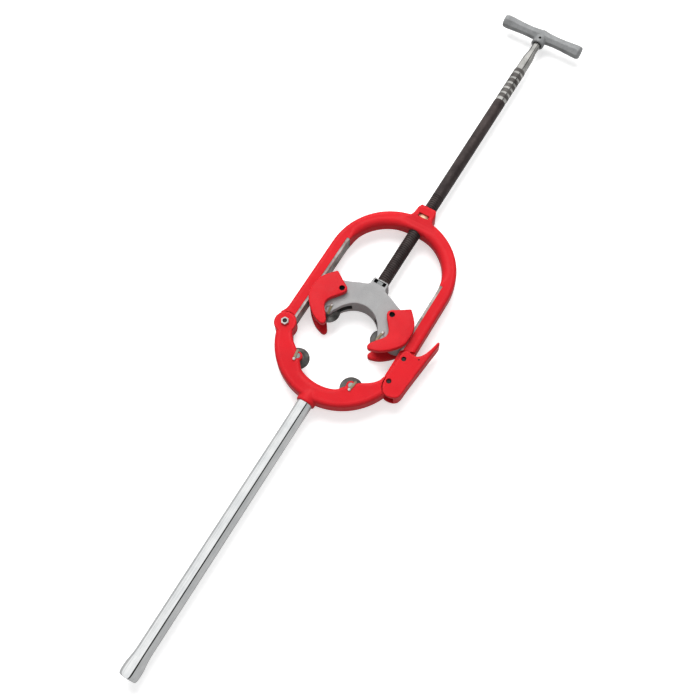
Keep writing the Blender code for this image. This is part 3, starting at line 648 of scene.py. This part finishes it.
def jaw_casting():
    split = SPLIT_Y - 0.4
    split_x = sqrt(JAW_OUT ** 2 - (split - JAW_OUT_Y) ** 2)
    out_start = -90 + degrees_of(JAW_OUT_Y - split, JAW_OUT)
    outline = [(LEG_IN, split), (split_x, split)]
    outline += arc((0, JAW_OUT_Y), JAW_OUT, out_start - 2, -168.5, 90) + [(HINGE[0] - 4, HINGE[1]),
            (HINGE[0] + 6, HINGE[1])]
    outline += run([(-85.2, -26.5), (-81.2, -33.2), (-75.5, -40.5), (-68.5, -46.2), (-62, -51),
                    (-51.5, -60.5), (-41.5, -71.5),
                    (-36.5, -77.2), polar((0, 0), JAW_IN, -112.5)])
    outline += arc((0, 0), JAW_IN, -112.5, -67.5, 34)
    outline += run([polar((0, 0), JAW_IN, -67.5), (36.5, -77.2), (41.5, -71.5), (51.5, -60.5), (62, -51),
                    (68.5, -47.2),
                    (74.5, -43.5), (82.5, -37), (88.2, -29.5), (LEG_IN, split)])
    body = slab(outline, -FRAME_HALF, FRAME_HALF, jaw_rounding, 6)
    lugs = [rod((side * WHEEL_X, LOWER_WHEEL_Y, 0), 8.4, -FRAME_HALF + 0.6, FRAME_HALF - 0.6,
                edge=1.2) for side in (-1, 1)]
    collar = turned([(0, -92), (13.2, -95), (15.6, -106), (16.6, -115), (16.8, -123.6), (16.0, -125),
                     (0, -125)], 64, "Y")
    eye = rod((*HINGE, 0), EYE_R, -FRAME_HALF, FRAME_HALF, sides=96, edge=1.0)
    skin = blended([body, eye, collar, *lugs])
    cutters = []
    for side in (-1, 1):
        centre = (side * WHEEL_X, LOWER_WHEEL_Y, 0)
        cutters.append((rod(centre, WHEEL_R + 2.0, -SLOT_HALF, SLOT_HALF, sides=96), POCKET_SHADOW))
        cutters.append((rod(centre, PIN_R + GAP, -30, 30), MACHINED))
    cutters.append((slab(arc(HINGE, EYE_R + 0.3, 0, 350, 50), -TONGUE_HALF - 0.4, TONGUE_HALF + 0.4), RED))
    cutters.append((rod((*HINGE, 0), 5.2, -20, 20), BORE_SHADE))
    room = [(94.5, -5), (94.5, -31), (97, -40), (103, -48), (111.5, -51), (122, -51.5), (150, -51.5),
            (150, -5)]
    cutters += [(m, RED) for m in both_faces(room, LUG_HALF, 30)]
    cutters.append((rod((0, 0, 0), TUBE_R + GAP, -140, TUBE_TOP + GAP, "Y", 64), BORE_SHADE))
    cutters.append((rod((0, -114.5, 0), 3.3, -30, -10), BORE_SHADE))
    casting = machined(skin, cutters, RED)
    boss = turned([(4.3, 9.6), (9.4, 9.6), (10.0, 9.0), (10.0, -9.0), (9.4, -9.6), (4.3, -9.6)], 64,
                  point=(*CATCH, 0), closed=True)
    boss.materials.append(RED)
    hole = machined(casting, [(rod((*CATCH, 0), 9.9, -LUG_HALF - 1, LUG_HALF + 1), RED)])
    piece("jaw_casting", hole, "jaw", ["lower_frame"])
    piece("jaw_catch_boss", boss, "jaw", [])


# ---------------------------------------------------------------- latch lever

def lever_rounding(x, y):
    if y < 40 and x < 118:
        return 0.9
    if x < 136:
        return 2.0
    return 3.6


def lever_forging():
    outline = arc(PIVOT, LEVER_EYE_R, 66, 108, 14)
    outline += run([(99.0, 37.0), (97.2, 31), (96.4, 8), (96.0, -28), (98.5, -38), (104.5, -45.5),
                    (112, -48.5), (119, -48.2),
                    (125.3, -46), (130.0, -42), (132.3, -36), (133.8, -18), (136.6, 8), (139.2, 32),
                    (141.6, 55), (143.6, 72),
                    (143.4, 77), (141.9, 79.4), (139.8, 78.8), (138.4, 75.5), (136.8, 68), (134.5, 58),
                    (131.5, 49.5),
                    (127.6, 43), (122.7, 38), (117.5, 36.5), polar(PIVOT, LEVER_EYE_R, 66)], 2.0)
    body = blended([slab(outline, -LEVER_HALF, LEVER_HALF, lever_rounding, 4)], 0.8, 3)
    throat = [(80, 60), (80, -60), (124, -60), (124, 30), (121.5, 45), (118, 60)]
    catch_room = [(80, -17), (80, -60), (107.8, -60), (107.8, -17)]
    cutters = [(slab(throat, -LUG_HALF - 0.4, LUG_HALF + 0.4), RED)]
    cutters += [(m, RED) for m in both_faces(catch_room, LUG_HALF, 13.9)]
    cutters += [(rod((*PIVOT, 0), LATCH_PIN_R + GAP, -30, 30), BORE_SHADE),
                (rod((*CATCH, 0), LATCH_PIN_R + 0.6, -30, 30), BORE_SHADE),
                (rod((127.5, 33.5, 0), 1.3, 12.0, 30, sides=24), POCKET_SHADOW)]
    piece("lever_forging", machined(body, cutters, RED), "latch", ["latch_lever"])


# ---------------------------------------------------------------- yoke group

def yoke_casting():
    wheel = (WHEEL_X, UPPER_WHEEL_Y)
    right = [(0, BOSS_TOP), (12.6, BOSS_TOP)] + run([(12.6, BOSS_TOP), (14.6, 127.6), (15.2, 124),
                                                     (15.2, 117.5), (16.2, 114),
                                                    (20, 111.6), (27, 109.2), (36, 105.8), (46, 101.4),
                                                    (56, 97.4), (66, 94.8),
                                                    (76, 92.3), (84, 89.2), (88.5, 86.2), (SHOE_X, 83)])
    right += run([(SHOE_X, 83), (SHOE_X, 60), (SHOE_X, 37)], 6.0)
    right += run([(SHOE_X, 37), (88.6, 33), (84, 30), (76, 28.6), (68, 29.4), (61.5, 31)])
    right += arc(wheel, 7.8, -40, -190, 20)
    right += run([(43.2, 39.6), (42.4, 42.0), (40.4, 44.4), polar_oval(27)])
    right += oval((0, ARCH_Y), ARCH_X, ARCH_RISE, 27, 90, 34)
    left = [point for point in reversed(flip(right))][1:]
    body = slab(right + left, -YOKE_HALF, YOKE_HALF, 2.4, 4)
    cheek = [(20, YOKE_HALF + 0.1), (37, PAD_HALF), (100, PAD_HALF), (100, 30), (20, 30)]
    back = [(x, -z) for x, z in cheek]
    shaped = machined(body, [(across(m, 0, 140), SILVER) for m in (cheek, back, flip(cheek), flip(back))],
                      SILVER)
    skin = blended([shaped], 0.9, 7)
    cutters = []
    for side in (-1, 1):
        centre = (side * WHEEL_X, UPPER_WHEEL_Y, 0)
        cutters.append((rod(centre, WHEEL_R + 2.2, -SLOT_HALF, SLOT_HALF, sides=96), POCKET_SHADOW))
        cutters.append((rod((side * 37, 52, 0), 20, -SLOT_HALF + 0.2, SLOT_HALF - 0.2, sides=96), POCKET_SHADOW))
        cutters.append((rod(centre, PIN_R + GAP, -30, 30), MACHINED))
        screw = (side * PLATE_SCREW[0], PLATE_SCREW[1], 0)
        cutters += [(rod(screw, 3.0, 4, 30), POCKET_SHADOW), (rod(screw, 3.0, -30, -4), POCKET_SHADOW)]
    cutters.append((rod((0, 0, 0), 9.4, 108, 140, "Y"), POCKET_SHADOW))
    cutters.append((block((-11.2, 119.3, -30), (11.2, 126.7, 30)), POCKET_SHADOW))
    piece("yoke_casting", machined(skin, cutters, SILVER), "slide", ["yoke"])


def polar_oval(turn):
    return oval((0, ARCH_Y), ARCH_X, ARCH_RISE, turn, turn, 1)[0]


def shield_plate(side, face, name):
    outline = run([(74, 103.0), (79.4, 97.2), (86.2, 89.4), (91.6, 81.6), (94.8, 73.4), (96, 64), (96, 54),
                   (95.2, 45),
                   (92.2, 37.4), (86, 28.8), (76, 18.6), (64, 9.8), (54, 5.8), (47, 4.2), (43.4, 5.6),
                   (41.6, 9.2),
                   (42.4, 13.4), (45.8, 18.6), (50, 24.5), (55.5, 31), (59.4, 36.6), (60.9, 41.6),
                   (60.2, 47.4), (56.6, 54.4),
                   (51.4, 61.2), (46.2, 67.8), (42.2, 73.4), polar(PLATE_SCREW, 9.0, 190),
                   polar(PLATE_SCREW, 9.0, 170),
                   polar(PLATE_SCREW, 9.0, 150), polar(PLATE_SCREW, 9.0, 128)], 1.6)
    outline += run([polar(PLATE_SCREW, 9.0, 128), (57, 93.4), (69.0, 101.4), (71.4, 102.9), (74, 103.0)], 2.0)
    if side < 0:
        outline = flip(outline)
    low, high = (PLATE_LOW, PLATE_HIGH) if face > 0 else (-PLATE_HIGH, -PLATE_LOW)
    centre = (side * PLATE_SCREW[0], PLATE_SCREW[1], 0)
    sink = 17.8
    through, counterbore = ((10, 30), (sink, 40)) if face > 0 else ((-30, -10), (-40, -sink))
    cutters = [(rod(centre, 3.2, *through), POCKET_SHADOW), (rod(centre, 5.0, *counterbore), BORE_SHADE)]
    mesh = machined(slab(outline, low, high, 1.9, 4), cutters, RED)
    piece(f"shield_{name}", mesh, "slide", [f"guide_plate_{name}"])
    profile = [(0, 22.6), (3.7, 22.6), (4.3, 22.3), (4.6, 21.7), (4.6, 18.1), (2.7, 18.1), (2.7, 6.0),
               (2.0, 5.2), (0, 5.2)]
    mesh = turned(profile, 48)
    if face < 0:
        mesh.transform(Matrix.Rotation(pi, 4, "X"))
    mesh.transform(Matrix.Translation(Vector(centre)))
    reach = (20.2, 30) if face > 0 else (-30, -20.2)
    head = machined(mesh, [(rod(centre, 2.6, *reach, sides=6), BLACK_SCREW)], BLACK_SCREW)
    piece(f"shield_screw_{name}", head, "slide", [f"plate_screw_{name}"])


# ---------------------------------------------------------------- wheels, pins and clips

WHEELS = {"lower_left": (-WHEEL_X, LOWER_WHEEL_Y), "lower_right": (WHEEL_X, LOWER_WHEEL_Y),
          "upper_left": (-WHEEL_X, UPPER_WHEEL_Y), "upper_right": (WHEEL_X, UPPER_WHEEL_Y)}


def cutter(name, centre):
    bore = PIN_R + GAP
    steel = ringed_metal(f"{name}_tool_steel", (0.085, 0.083, 0.078), (0.24, 0.235, 0.225), 0.26, 0.42,
                         centre)
    half = [(bore, 5.9), (bore + 0.4, 6.3), (9.7, 6.3), (10.3, 5.8), (10.6, 4.7), (11.6, 3.9), (12.2, 3.6),
            (18.2, 0.95),
            (19.3, 0.45), (WHEEL_R, 0.12)]
    profile = half + [(radius, -height) for radius, height in reversed(half)]
    mesh = turned(profile, 128, point=(*centre, 0), closed=True)
    piece(f"cutter_{name}", mesh, f"wheel_{name}", [f"{name}_wheel"], steel, 30.0)


def seat_level(name):
    return FRAME_HALF if name.startswith("lower") else PAD_HALF


def wheel_pin(name, centre, body):
    seat = seat_level(name)
    head = 6.6 if name.startswith("lower") else 5.6
    back = -seat - GAP
    profile = [(0, seat - 0.35), (1.1, seat - 0.35), (1.5, seat - 0.2), (PIN_R - 0.7, seat - 0.2),
               (PIN_R - 0.2, seat - 0.4),
               (PIN_R, seat - 0.9), (PIN_R, back), (head, back), (head, back - 2.2), (head - 0.2, back - 2.5),
               (head - 0.7, back - 2.7), (0, back - 2.7)]
    mesh = turned(profile, 64, point=(*centre, 0))
    piece(f"axle_{name}", mesh, body, [f"{name}_pin"], GROUND)


def pin_clip(name, centre, body):
    low = seat_level(name) + GAP
    button = (1.7, -8.0)
    outline = arc(button, 2.4, 171, 351, 16) + [(6.4, 6.9)] + arc((4.3, 8.0), 2.2, -9, 171,
            16) + run([(2.1, 6.4), (1.4, 3.0), (0.6, -1.5)])
    strip = slab(outline, low, low + 1.2, 0.25, 2)
    knob = turned([(0, low + 2.45), (1.0, low + 2.38), (1.8, low + 2.15), (2.4, low + 1.8),
                   (2.8, low + 1.3), (3.0, low + 0.4),
                   (0, low + 0.4)], 40, point=(*button, 0))
    knob.materials.append(PLATED)
    strip.materials.append(CHROMATE)
    stand = Matrix.Translation(Vector((*centre,
                                       0))) @ Matrix.Rotation(0.0 if name.startswith("lower") else pi, 4, "Z")
    for mesh in (strip, knob):
        mesh.transform(stand)
        if centre[0] < 0:
            mesh.transform(Matrix.Translation((2 * centre[0], 0, 0)) @ Matrix.Scale(-1, 4, (1, 0, 0)))
            mesh.flip_normals()
    holder = bpy.data.objects.new("strip", strip)
    other = bpy.data.objects.new("knob", knob)
    for obj in (holder, other):
        bpy.context.scene.collection.objects.link(obj)
    union = holder.modifiers.new("union", "BOOLEAN")
    union.operation = "UNION"
    union.solver = "EXACT"
    union.material_mode = "TRANSFER"
    union.object = other
    mesh = settled(holder)
    bpy.data.objects.remove(holder, do_unlink=True)
    bpy.data.objects.remove(other, do_unlink=True)
    piece(f"clip_{name}", mesh, body, [f"{name}_clip"])


# ---------------------------------------------------------------- feed screw and T-handle

def threaded(low, high, sides=48, per_turn=10, depth=1.35):
    """Rings of a square-cornered thread: the radius falls and rises once in each pitch,
    one turn ahead per pitch."""
    rings = []
    count = int((high - low) / THREAD_PITCH * per_turn)
    for step in range(count + 1):
        level = low + (high - low) * step / count
        fade = min(1.0, (level - low) / 3.0, (high - level) / 9.0)
        ring = []
        for side in range(sides):
            phase = (level / THREAD_PITCH - side / sides) % 1.0
            wave = min(1.0, max(0.0, (abs(phase - 0.5) - 0.14) / 0.11))
            ring.append(SCREW_R - depth * fade * (1 - wave))
        rings.append((level, ring))
    return rings


def screw_shank():
    sides = 48
    below = [(0, SCREW_TIP), (8.0, SCREW_TIP), (9.0, 112.2), (9.0, 118.6), (NECK_R, 119.0), (NECK_R, 129.2),
             (SCREW_R - 1.4, 129.8),
             (SCREW_R, 131.6)]
    above = []
    for number, ring in enumerate(RING_YS):
        wide = 3.4 if number == 0 else 2.2
        above += [(SCREW_R, ring - wide - 0.01), (SCREW_R - 0.6, ring - wide + 0.4),
                  (SCREW_R - 0.6, ring + wide - 0.4), (SCREW_R, ring + wide)]
    above += [(SCREW_R, NECK_Y), (10.8, NECK_Y + 1), (10.5, NECK_Y + 3), (10.4, 668), (10.1, 686),
              (9.2, 693), (8.0, 700)]
    above += [(7.5, 705), (7.5, 748.4), (6.9, 749), (0, 749)]
    shape = bmesh.new()
    rows = []
    rows += [(level, [radius] * sides) for radius, level in below]
    rows += threaded(133.0, 338.0, sides)
    rows += [(338.0 + 5.7 * k, [SCREW_R] * sides) for k in range(1, 41)]
    rows += [(level, [radius] * sides) for radius, level in above]
    rings = []
    for level, radii in rows:
        if radii[0] == 0:
            rings.append([shape.verts.new((0, level, 0))])
            continue
        rings.append([shape.verts.new((r * cos(2 * pi * i / sides), level,
                                       r * sin(2 * pi * i / sides))) for i, r in enumerate(radii)])
    for lower, upper in zip(rings, rings[1:]):
        for i in range(sides):
            j = (i + 1) % sides
            corners = [lower[i % len(lower)], lower[j % len(lower)], upper[j % len(upper)],
                       upper[i % len(upper)]]
            unique = [c for n, c in enumerate(corners) if c not in corners[:n]]
            if len(unique) > 2:
                face = shape.faces.new(unique)
                middle = sum((c.co.y for c in unique)) / len(unique)
                grooved = any(abs(middle - ring) < (3.4 if ring == RING_YS[0] else 2.2) for ring in RING_YS)
                worn = RING_YS[0] < middle < NECK_Y
                face.material_index = 1 if grooved or middle > NECK_Y or middle < 131 else 2 if worn else 0
    mesh = to_mesh(shape)
    mesh.materials.append(BLACK)
    mesh.materials.append(RING)
    mesh.materials.append(WORN)
    piece("screw_shank", mesh, "screw", ["feed_screw"], smooth=40.0)


def t_bar():
    half = [(13.0, 0), (12.6, 7), (11.8, 15), (11.3, 25), (11.2, 34), (11.7, 48), (12.5, 60), (13.1, 71),
            (13.1, 77),
            (11.2, T_HALF)]
    stations = list(reversed(half)) + [(radius, -along) for radius, along in half[1:]]
    bar = turned([(0, T_HALF)] + stations + [(0, -T_HALF)], 8, "X", (0, T_Y, 0), turn=22.5)
    shape = bmesh.new()
    shape.from_mesh(bar)
    ridges = [e for e in shape.edges if len(e.link_faces) == 2 and e.calc_face_angle() > radians(30)]
    bmesh.ops.bevel(shape, geom=ridges, offset=0.6, segments=2, profile=0.5, affect="EDGES",
                    clamp_overlap=True)
    boss = turned([(0, 760.0), (3.5, 759.8), (7.0, 758.2), (10.0, 753.5), (11.6, 747), (12.3, 738),
                   (12.5, 728), (12.4, 725.2),
                   (11.6, 724), (0, 724)], 64, "Y")
    skin = blended([to_mesh(shape), boss], 0.5, 2)
    cutters = [(rod((0, 0, 0), 7.9, 700, 749.6, "Y"), POCKET_SHADOW),
               (rod((0, 0, 0), 10.4, 720, 725.6, "Y", tip=8.0), POCKET_SHADOW),
               (rod((0, 733.0, 0), 2.6, -20, 20), POCKET_SHADOW)]
    piece("t_bar", machined(skin, cutters, FORGED), "screw", ["t_handle"])


# ---------------------------------------------------------------- handle tube, hinge bolt and nut

def tube():
    profile = [(TUBE_BORE, TUBE_TOP - 0.5), (TUBE_BORE + 0.4, TUBE_TOP), (TUBE_R - 0.8, TUBE_TOP),
               (TUBE_R, TUBE_TOP - 0.8)]
    profile += [(TUBE_R, TUBE_TOP - 12.0 * k) for k in range(1, 41)]
    profile += [(TUBE_R, TUBE_TOP - 480 - 1.5 * k) for k in range(1, 8)]
    profile += [(13.4, -586), (13.7, -592), (14.3, -598), (15.1, -604), (15.8, -609), (16.1, -616),
                (16.1, -621), (15.7, -625.5),
                (14.8, -628.4), (13.4, -629.8), (12.2, TUBE_END), (11.2, -629.3), (10.4, -627.4),
                (10.15, -624), (10.3, -618),
                (TUBE_BORE, -612)]
    mesh = turned(profile, 96, "Y", closed=True)
    mesh.materials.append(CHROME)
    mesh.materials.append(POCKET_SHADOW)
    # Faces inside the bore take the near-black pocket material: painted shade inside the tube.
    for face in mesh.polygons:
        inside = Vector((face.normal.x, face.normal.z)).dot(Vector((face.center.x, face.center.z))) < 0
        face.material_index = int(inside and Vector((face.center.x, face.center.z)).length < 12.0)
    for vertex in mesh.vertices:
        away = Vector(((vertex.co.x + 2.5) / 6.0, (vertex.co.y + 592) / 9.0)).length
        if vertex.co.z > 0 and away < 1 and vertex.co.xz.length > 12:
            vertex.co.z -= 1.3 * (1 - away * away) ** 2
    piece("tube", mesh, "jaw", ["handle_tube"])


def hinge_set():
    under = -FRAME_HALF - GAP - 1.6 - GAP
    profile = [(0, 17.0), (0.9, 17.1), (1.4, 17.4), (3.1, 17.4), (3.6, 17.0), (3.7, 16.5), (3.7, 13.0),
               (4.9, 13.0), (4.9, under), (8.3, under),
               (8.6, under - 0.3), (8.6, under - 4.4), (8.3, under - 5.0), (7.6, under - 5.4),
               (0, under - 5.4)]
    piece("hinge_bolt_fine", turned(profile, 64, point=(*HINGE, 0)), "frame", ["hinge_bolt"],
          OILED)
    low = FRAME_HALF + GAP
    nut = rod((*HINGE, 0), 7.2, low, low + 4.4, sides=6)
    hull = turned([(0, low + 4.4), (5.7, low + 4.4), (7.3, low + 3.5), (7.3, low + 0.7), (6.3, low),
                   (0, low)], 64, point=(*HINGE, 0))
    holder = bpy.data.objects.new("nut", nut)
    other = bpy.data.objects.new("round", hull)
    for obj in (holder, other):
        bpy.context.scene.collection.objects.link(obj)
    meet = holder.modifiers.new("meet", "BOOLEAN")
    meet.operation = "INTERSECT"
    meet.solver = "EXACT"
    meet.object = other
    mesh = settled(holder)
    bpy.data.objects.remove(holder, do_unlink=True)
    bpy.data.objects.remove(other, do_unlink=True)
    mesh = machined(mesh, [(rod((*HINGE, 0), 4.0, 0, 40), OILED)], PLATED)
    piece("hinge_nut_fine", mesh, "frame", ["hinge_nut"])


# ---------------------------------------------------------------- build everything

frame_casting()
jaw_casting()
lever_forging()
yoke_casting()
for face_name, face_sign in (("front", 1), ("back", -1)):
    for side_name, side_sign in (("left", -1), ("right", 1)):
        shield_plate(side_sign, face_sign, f"{face_name}_{side_name}")
for wheel_name, wheel_centre in WHEELS.items():
    holder_body = "jaw" if wheel_name.startswith("lower") else "slide"
    cutter(wheel_name, wheel_centre)
    wheel_pin(wheel_name, wheel_centre, holder_body)
    pin_clip(wheel_name, wheel_centre, holder_body)
screw_shank()
t_bar()
tube()
hinge_set()

KEPT = {"feed_nut": BRONZE, "feed_nut_screw": BLACK_SCREW, "hinge_washer": PLATED, "latch_pivot_pin": OILED,
        "latch_catch_pin": OILED, "latch_spring": SPRING, "handle_set_screw": BLACK_SCREW,
        "screw_keeper": KEEPER_SHADED,
        "thrust_washer": GROUND, "t_handle_pin": BLACK_SCREW}
for node_name, node_material in KEPT.items():
    data = frame["nodes"][node_name].data
    data.materials.clear()
    data.materials.append(node_material)
    data.shade_smooth()
    data.set_sharp_from_angle(angle=radians(40))


# ---------------------------------------------------------------- floor, light and camera

def pale_floor():
    shape = bmesh.new()
    bmesh.ops.create_grid(shape, x_segments=1, y_segments=1, size=30.0)
    floor_mesh = bpy.data.meshes.new("floor")
    shape.to_mesh(floor_mesh)
    shape.free()
    floor_obj = bpy.data.objects.new("floor", floor_mesh)
    bpy.context.scene.collection.objects.link(floor_obj)
    look = Look("pale_floor")
    look.set(Roughness=0.9, Specular_IOR_Level=0.1)
    path = look.tree.nodes.new("ShaderNodeLightPath")
    bounced = look.tree.nodes.new("ShaderNodeMath")
    bounced.operation = "MAXIMUM"
    look.link(path.outputs["Is Diffuse Ray"], bounced.inputs[0])
    look.link(path.outputs["Is Glossy Ray"], bounced.inputs[1])
    shade = look.ramp(look.noise(3.0, 2.0), (0.3, 0.80), (0.7, 0.82))
    look.colour(look.mix(bounced.outputs["Value"], shade, (0.36, 0.36, 0.36)))
    look.shader.inputs["Emission Color"].default_value = (1.0, 1.0, 1.0, 1.0)
    glow = look.tree.nodes.new("ShaderNodeMapRange")
    glow.inputs["To Min"].default_value = 0.52
    glow.inputs["To Max"].default_value = 0.12
    look.link(bounced.outputs["Value"], glow.inputs["Value"])
    look.link(glow.outputs["Result"], look.shader.inputs["Emission Strength"])
    floor_mesh.materials.append(look.material)


def soft_light(name, place_at, target, size, power, colour=(1, 1, 1)):
    data = bpy.data.lights.new(name, "AREA")
    data.shape = "DISK"
    data.size = size
    data.energy = power
    data.color = colour
    obj = bpy.data.objects.new(name, data)
    obj.location = place_at
    obj.visible_glossy = False
    obj.rotation_euler = (Vector(target) - Vector(place_at)).to_track_quat("-Z", "Y").to_euler()
    bpy.context.scene.collection.objects.link(obj)


def studio():
    world = bpy.data.worlds.new("studio")
    bpy.context.scene.world = world
    world.use_nodes = True
    tree = world.node_tree
    back = tree.nodes["Background"]
    direction = tree.nodes.new("ShaderNodeTexCoord")
    parts = tree.nodes.new("ShaderNodeSeparateXYZ")
    tree.links.new(direction.outputs["Generated"], parts.inputs["Vector"])
    lean = tree.nodes.new("ShaderNodeMath")
    lean.operation = "ARCTAN2"
    tree.links.new(parts.outputs["X"], lean.inputs[0])
    tree.links.new(parts.outputs["Z"], lean.inputs[1])
    # A bright room with one narrow dark gap between its soft boxes, seen only in bright metal.
    room = tree.nodes.new("ShaderNodeValToRGB")
    place = tree.nodes.new("ShaderNodeMapRange")
    place.inputs["From Min"].default_value = -pi / 2
    place.inputs["From Max"].default_value = pi / 2
    tree.links.new(lean.outputs["Value"], place.inputs["Value"])
    tree.links.new(place.outputs["Result"], room.inputs["Fac"])
    stops = ((0.0, 0.7), (0.06, 1.0), (0.17, 1.0), (0.19, 0.6), (0.21, 1.0), (0.635, 1.0), (0.65, 0.01),
             (0.735, 0.01),
             (0.75, 0.52), (1.0, 0.52))
    while len(room.color_ramp.elements) < len(stops):
        room.color_ramp.elements.new(0.5)
    for element, (position, value) in zip(room.color_ramp.elements, stops):
        element.position = position
        element.color = (value, value, value, 1.0)
    path = tree.nodes.new("ShaderNodeLightPath")
    seen = tree.nodes.new("ShaderNodeMix")
    seen.data_type = "RGBA"
    seen.inputs["A"].default_value = (0.94, 0.94, 0.94, 1.0)
    tree.links.new(path.outputs["Is Glossy Ray"], seen.inputs["Factor"])
    tree.links.new(room.outputs["Color"], seen.inputs["B"])
    tree.links.new(seen.outputs["Result"], back.inputs["Color"])
    level = tree.nodes.new("ShaderNodeMapRange")
    level.inputs["To Min"].default_value = 1.0
    level.inputs["To Max"].default_value = 0.42
    tree.links.new(path.outputs["Is Diffuse Ray"], level.inputs["Value"])
    tree.links.new(level.outputs["Result"], back.inputs["Strength"])
    soft_light("key", (-1.3, 1.7, 3.0), (0, 0.0, 0), 3.2, 165)
    soft_light("fill", (1.6, -0.6, 2.6), (0, 0, 0), 1.6, 8)


VIEW_ROWS = ((0.856654, 0.515160, -0.027455), (0.469925, -0.801179, -0.370515),
             (-0.212871, 0.304502, -0.928420))
VIEW_SHIFT = (-10.865, -10.882, 1620.0)
VIEW_LENS = 48.84


def camera():
    """Camera at the viewing angle: rows are its right, down and forward axes in the tool's frame."""
    rows = Matrix(VIEW_ROWS)
    place_at = -(rows.transposed() @ Vector(VIEW_SHIFT)) * MM + ORIGIN
    right, down, ahead = rows[0], rows[1], rows[2]
    stand = Matrix(((right[0], -down[0], -ahead[0]), (right[1], -down[1], -ahead[1]),
                    (right[2], -down[2], -ahead[2])))
    data = bpy.data.cameras.new("camera")
    data.sensor_width = 36.0
    data.lens = VIEW_LENS
    data.clip_end = 50.0
    obj = bpy.data.objects.new("camera", data)
    obj.matrix_world = Matrix.Translation(place_at) @ stand.to_4x4()
    bpy.context.scene.collection.objects.link(obj)
    bpy.context.scene.camera = obj


pale_floor()
studio()
camera()
bpy.context.scene.view_settings.view_transform = "Standard"
